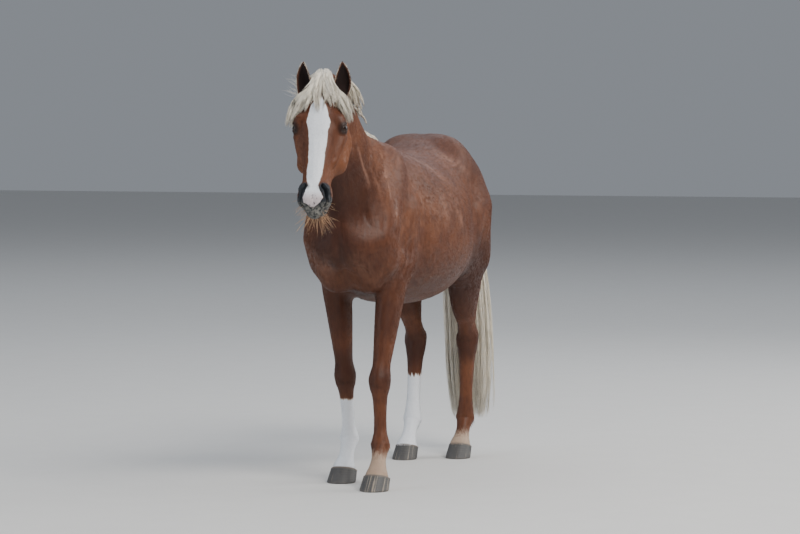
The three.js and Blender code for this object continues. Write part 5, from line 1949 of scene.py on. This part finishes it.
# ---- The short coat: small flat tufts along its lie ----
def lie_of(p, chart):
    """Which way the coat lies at points of the skin."""
    way = np.tile(np.array([0.0, 0.8, -0.6]), (len(p), 1))
    back = smooth_step((p[:, 2] - 1180) / 220)[:, None]
    way += back * [0, 0.5, 0.3]
    neck = chart == CHART["neck"]
    way[neck] = np.array([0, 0.62, -0.78])
    breast = (p[:, 1] < -120) & (p[:, 2] < 1120) & (chart == CHART["trunk"])
    way[breast] = [0, 0.15, -1]
    way[breast, 0] = np.sign(p[breast, 0]) * 0.35
    head = chart == CHART["head"]
    h = to_head(p[head])
    cheek = smooth_step((-50 - h[:, 2]) / 60)
    local = np.stack([np.sign(h[:, 0]) * 0.12, 1 - 0.45 * cheek, -0.6 * cheek], 1)
    way[head] = local @ HEAD_AXES
    ears = chart == CHART["ears"]
    side = np.where(to_head(p[ears])[:, 0] < 0, -1, 1)
    way[ears] = flipped(EAR_TIP - EAR_ROOT, side) @ HEAD_AXES
    way[chart > CHART["ears"]] = [0, 0.14, -1]  # the legs
    return unit(way)


USUAL_TUFT = 11


def tuft_lengths(p, chart):
    """Length of the coat at points of the skin, as shares of the usual: shortest on the face and feet."""
    long = np.interp(p[:, 2], [60, 160, 500, 800, 1500], [6, 6, 8, 12.5, 12.5])
    h = mirrored(to_head(p))
    on_face = np.isin(chart, (CHART["head"], CHART["ears"]))
    jaw = smooth_step((-120 - h[:, 2]) / 60)
    face = np.interp(h[:, 1], [0, 200, 460, 540], [8, 5.5, 4.5, 2.6]) * (1 + jaw)
    return np.where(on_face, face, long) / USUAL_TUFT


def bald(p, chart):
    """True in the eyes, nostrils and mouth, and at the very ends of the legs."""
    h = mirrored(to_head(p))
    near = by_head(p)
    out = np.zeros(len(p), bool)
    q = h[near]
    out[near] = (lid_opening(q) > -2.5) | (line_distance(q, NOSTRIL) < 15) | (line_distance(q, LIP_LINE) < 6)
    for name in LEGS:
        point, normal = coronet(name)
        out |= (np.linalg.norm(p - point, axis=1) < 120) & ((p - point) @ normal < -2)
    return out


def tuft_roots(random, charts, count):
    """Places spread evenly over parts of the skin, with their normals and parts."""
    s = skin()
    wanted = np.isin(s["chart"], [CHART[name] for name in charts])
    in_cup = cup_depth(s["verts"])[s["tris"]].max(1) >= 0.3
    rows = np.nonzero(wanted & ~in_cup)[0]
    corners = s["verts"][s["tris"][rows]]
    area = np.linalg.norm(np.cross(corners[:, 1] - corners[:, 0], corners[:, 2] - corners[:, 0]), axis=1)
    area /= tuft_lengths(corners.mean(1), s["chart"][rows])
    pick = random.choice(len(rows), count, p=area / area.sum())
    share = random.dirichlet((1, 1, 1), count)[:, :, None]
    p = (corners[pick] * share).sum(1)
    normal = unit((s["normals"][s["tris"][rows[pick]]] * share).sum(1))
    chart = s["chart"][rows[pick]]
    keep = ~bald(p, chart)
    return p[keep], normal[keep], chart[keep]


def make_tufts(name, p, normal, chart, ways, long, wide, lift, finish):
    """An object of one flat spike at each root."""
    random = np.random.default_rng(len(p))
    n = len(p)
    ways = ways + random.normal(size=ways.shape) * 0.13
    way = unit(ways - normal * dot(ways, normal)[:, None])
    side = np.cross(normal, way)
    column = lambda values: np.broadcast_to(values, n)[:, None]
    long = column(long) * random.uniform(0.7, 1.25, (n, 1))
    wide = column(wide) * random.uniform(0.8, 1.2, (n, 1))
    base = p - normal * 0.6
    corners = [
        base + side * wide / 2,
        base - side * wide / 2,
        p + way * long * 0.4 + normal * (0.5 + column(lift) * long * 0.7),
        p + way * long + normal * column(lift) * long,
    ]
    verts = np.stack(corners, 1).reshape(-1, 3)
    faces = np.array([(0, 1, 2), (1, 3, 2), (3, 0, 2), (0, 3, 1)])
    tris = (faces[None] + (np.arange(n) * 4)[:, None, None]).reshape(-1, 3)
    patch = np.array([(-0.5, -0.5), (0.5, -0.5), (0, 0.1), (0, 0.5)])[faces] * PATCH
    uv = np.clip(unrolled(p[:, None], chart)[:, None] + patch[None], 0, 1)
    values = {"shade": np.repeat(random.uniform(0, 1, n), 4), "tone": np.repeat(painted_highlight_at(p), 4)}
    return make_mesh(name, verts, tris, uv, finish, (), np.repeat(normal, 4, 0), values)


class MakeCoat(bpy.types.Operator):
    """Short tufts over the whole body, smallest on the face and feet"""

    bl_idname = "horse.coat"
    bl_label = "Coat"

    def execute(self, context):
        random = np.random.default_rng(21)
        finish = coat_material("coat_tufts", False)
        count = sizes().tuft_count
        scale = sizes().tuft_length * 1000
        parts = {
            "trunk": (("trunk",), 1.1),
            "neck": (("neck",), 0.55),
            "head": (("head", "ears"), 1.0),
            "forelegs": (("foreleg_left", "foreleg_right"), 0.55),
            "hindlegs": (("hindleg_left", "hindleg_right"), 0.55),
        }
        for name, (charts, share) in parts.items():
            p, normal, chart = tuft_roots(random, charts, int(count * share))
            long = tuft_lengths(p, chart) * scale
            wide = 0.9 + long * 0.09
            make_tufts(f"coat_{name}", p, normal, chart, lie_of(p, chart), long, wide, 0.10, finish)
        return {"FINISHED"}


# ---- Longer hair of the legs and face ----
WHISKER_PLACES = [
    # (place in the head's frame, spread, way, length, count)
    ((0, 556, -136), (30, 18, 16), (0.0, 0.75, -0.55), 92, 34),
    ((26, 548, -132), (10, 12, 12), (0.55, 0.65, -0.4), 78, 14),
    ((-26, 548, -132), (10, 12, 12), (-0.55, 0.65, -0.4), 78, 14),
    ((46, 540, -92), (8, 18, 14), (0.85, 0.45, 0.05), 34, 12),
    ((-46, 540, -92), (8, 18, 14), (-0.85, 0.45, 0.05), 52, 16),
]


WHISKER_COLOURS = (0.74, 0.40, 0.19), (0.86, 0.58, 0.34)
WISPS = 40
EAR_HAIRS = 420  # on each ear
CORONET_HAIRS, HEEL_HAIRS = 260, 240  # on each foot


class MakeFineHair(bpy.types.Operator):
    """Whiskers, hair at the rims of the ears, tufts behind the fetlocks and over the coronets"""

    bl_idname = "horse.fine_hair"
    bl_label = "Whiskers and tufts"

    def execute(self, context):
        random = np.random.default_rng(31)
        self.whiskers(random)
        self.wisps(random)
        self.ear_hair(random)
        self.foot_hair(random)
        return {"FINISHED"}

    def grow(self, random, name, rows, width, lift, weight, finish, slot):
        """Strands from rows of roots, ways and lengths."""
        roots, ways, lengths = (np.concatenate(v) for v in zip(*rows))
        paths = drape(skin()["form"], roots, ways, lengths, lift, weight)
        make_strands(name, paths, width, random.uniform(0, 1, len(paths)), finish)

    def whiskers(self, random):
        rows = []
        for place, spread, way, long, count in WHISKER_PLACES:
            at = np.array(place) + random.normal(size=(count, 3)) * np.array(spread)
            fan = np.array(way) + random.normal(size=(count, 3)) * 0.30
            fan[:, 0] += (at[:, 0] - place[0]) * 0.02
            roots = settle(skin()["form"], from_head(at), 40, 4)
            rows.append((roots, fan @ HEAD_AXES, long * random.uniform(0.45, 1.1, count)))
        shader = Shader("whisker_hair", Roughness=0.4)
        fine = shader.noise(shader.place(), 30.0, 1.0)
        finish = shader.finish(Base_Color=shader.mix(fine, *WHISKER_COLOURS))
        self.grow(random, "whiskers", rows, 1.0, -0.5, 0.02, finish, "hair")

    def wisps(self, random):
        """Stray hairs of the poll that stand out behind the right ear."""
        form = skin()["form"]
        at = np.array([-62.0, 40, -60]) + random.normal(size=(WISPS, 3)) * [8, 14, 8]
        ways = (np.array([-0.72, -0.66, 0.05]) + random.normal(size=(WISPS, 3)) * 0.24) @ HEAD_AXES
        roots = settle(form, from_head(at), 40, 4)
        paths = bent(drape(form, roots, ways, random.uniform(60, 118, WISPS), 0.5, 0.035), random, 5.0)
        finish = hair_material("pale_hair_wisps")
        make_strands("poll_wisps", paths, 1.3, random.uniform(0, 0.5, WISPS), finish)

    def ear_hair(self, random):
        """Short pale hair along the edges of the cups."""
        paths, shades = [], []
        for side in (1, -1):
            count = EAR_HAIRS
            share = random.uniform(0.06, 0.97, count)
            edge = np.where(random.uniform(0, 1, count) < 0.5, -1, 1)
            s, up, tangent = EAR_LOFT.section(share)
            across = np.cross(tangent, up) * edge[:, None]
            wide = s[:, 5] * (1 + ear_fuller(share)) + 0.5
            root = s[:, :3] + across * wide[:, None] + up * (s[:, 3:4] * 0.2)
            way = tangent * 0.8 + across * -0.2 + up * 0.5 + random.normal(size=(count, 3)) * 0.25
            long = np.interp(share, [0, 0.3, 1], [20, 13, 7]) * random.uniform(0.5, 1.2, count)
            t = np.arange(STRAND_RINGS + 1) / STRAND_RINGS
            h = root[:, None] + unit(way)[:, None] * (long[:, None] * t)[..., None]
            h[..., 0] *= side
            paths.append(from_head(h.reshape(-1, 3)).reshape(h.shape))
            shades.append(random.uniform(0, 1, count))
        finish = hair_material("ear_fringe", 0.15)
        make_strands("ear_fringe", np.concatenate(paths), 0.9, np.concatenate(shades), finish)

    def foot_hair(self, random):
        form, rows = skin()["form"], []
        count, heel = CORONET_HAIRS, HEEL_HAIRS
        for name in LEGS:
            point, _ = coronet(name)
            angle = random.uniform(0, 2 * np.pi, count)
            across, ahead = np.sin(angle), -np.cos(angle)
            ring = point + np.stack([across * 50, ahead * 55, random.uniform(0, 9, count)], 1)
            ways = np.stack([across * 0.35, ahead * 0.3, np.full(count, -1)], 1)
            rows.append((settle(form, ring, 30, 4), ways, random.uniform(8, 15, count)))
            at = np.array(LEGS[name][-2], float) + random.normal(size=(heel, 3)) * [20, 10, 26] + [0, 46, -14]
            ways = np.array([0.0, 0.62, -0.9]) + random.normal(size=(heel, 3)) * 0.15
            rows.append((settle(form, at, 60, 4), ways, random.uniform(12, 34, heel)))
        self.grow(random, "foot_hair", rows, 1.6, 0.2, 0.12, coat_material("foot_tufts", False), "coat")


# ---- Stage ----
VIEW_TURN = math.radians(18)  # of the camera round to the horse's left
EYE_LEVEL = 1.578
CAMERA_ASIDE = 0.156
HORIZON_DROP = math.atan(166 / 3280)
LENS, SENSOR = 147.6, 36  # mm
VIEW_END = 60
FLOOR_REACH = 40.0  # from the middle to each edge
FLOOR_COLOURS = (0.66, 0.65, 0.63), (0.70, 0.69, 0.67)
LIGHTS = [
    # (name, place, width, watts, colour)
    ("key", (5.5, -4.5, 7.0), 4.0, 740, (1.0, 0.96, 0.9)),
    ("sky", (0.5, 4.0, 14.0), 24.0, 1500, (0.86, 0.92, 1.0)),
    ("fill", (-6.5, -5.0, 3.0), 5.0, 160, (0.9, 0.95, 1.0)),
    ("rim", (5.5, 4.0, 3.6), 3.5, 200, (1.0, 0.97, 0.92)),
    ("back", (0.5, 6.2, 5.0), 4.5, 60, (0.90, 0.93, 1.0)),
]
LIT_POINT = (0, -0.3, 0.9)  # what the lights face
WORLD_COLOUR, WORLD_STRENGTH = (0.80, 0.86, 0.95, 1), 0.30


class MakeStage(bpy.types.Operator):
    """Floor, soft light and camera"""

    bl_idname = "horse.stage"
    bl_label = "Stage"

    def execute(self, context):
        right = np.array([math.cos(VIEW_TURN), math.sin(VIEW_TURN), 0])
        view = np.array([-math.sin(VIEW_TURN), math.cos(VIEW_TURN), 0])
        eye = right * CAMERA_ASIDE - view * sizes().camera_distance + [0, 0, EYE_LEVEL] - MIDDLE / 1000
        data = bpy.data.cameras.new("camera")
        data.lens, data.sensor_width, data.clip_end = LENS, SENSOR, VIEW_END
        camera = bpy.data.objects.new("camera", data)
        camera.location = eye
        camera.rotation_euler = (math.pi / 2 - HORIZON_DROP, 0, VIEW_TURN)
        context.collection.objects.link(camera)
        context.scene.camera = camera
        self.floor(context)
        for lamp in LIGHTS:
            self.light(context, *lamp)
        world = bpy.data.worlds.new("studio")
        world.use_nodes = True
        background = world.node_tree.nodes["Background"]
        background.inputs["Color"].default_value = WORLD_COLOUR
        background.inputs["Strength"].default_value = WORLD_STRENGTH
        context.scene.world = world
        return {"FINISHED"}

    def floor(self, context):
        verts = [(x * FLOOR_REACH, y * FLOOR_REACH, 0) for x, y in ((-1, -1), (1, -1), (1, 1), (-1, 1))]
        mesh = bpy.data.meshes.new("floor")
        mesh.from_pydata(verts, [], [(0, 1, 2, 3)])
        shader = Shader("pale_floor", Roughness=0.75)
        speck = shader.noise(shader.place(), 6.0, 2.0)
        mesh.materials.append(shader.finish(Base_Color=shader.mix(speck, *FLOOR_COLOURS)))
        floor = bpy.data.objects.new("floor", mesh)
        context.collection.objects.link(floor)
        floor.location.z = -0.0005

    def light(self, context, name, place, size, power, tint):
        data = bpy.data.lights.new(name, "AREA")
        data.energy, data.size, data.color = power, size, tint
        lamp = bpy.data.objects.new(name, data)
        lamp.location = place
        aim = np.subtract(LIT_POINT, place)
        tilt = math.atan2(math.hypot(aim[0], aim[1]), -aim[2])
        lamp.rotation_euler = (tilt, 0, math.atan2(-aim[0], aim[1]))
        context.collection.objects.link(lamp)


class HorsePanel(bpy.types.Panel):
    """Sizes, colours and pieces of the horse"""

    bl_idname = "VIEW3D_PT_horse"
    bl_label = "Horse"
    bl_space_type = "VIEW_3D"
    bl_region_type = "UI"
    bl_category = "Horse"

    def draw(self, context):
        for group in (context.scene.horse_sizes, context.scene.horse_colours):
            box = self.layout.box()
            for key in group.bl_rna.properties.keys():
                if key not in ("rna_type", "name"):
                    box.prop(group, key)
        for piece in PIECES:
            self.layout.operator(piece.bl_idname)


PIECES = (MakeSkin, MakeEyes, MakeHooves, MakeForelock, MakeMane, MakeTail, MakeCoat, MakeFineHair, MakeStage)
CLASSES = (HorseSizes, HorseColours, *PIECES, HorsePanel)


def register():
    for item in CLASSES:
        bpy.utils.register_class(item)
    bpy.types.Scene.horse_sizes = PointerProperty(type=HorseSizes)
    bpy.types.Scene.horse_colours = PointerProperty(type=HorseColours)


def unregister():
    del bpy.types.Scene.horse_colours
    del bpy.types.Scene.horse_sizes
    for item in reversed(CLASSES):
        bpy.utils.unregister_class(item)


def main():
    register()
    for piece in PIECES:
        group, name = piece.bl_idname.split(".")
        getattr(getattr(bpy.ops, group), name)()


if __name__ == "__main__":
    main()
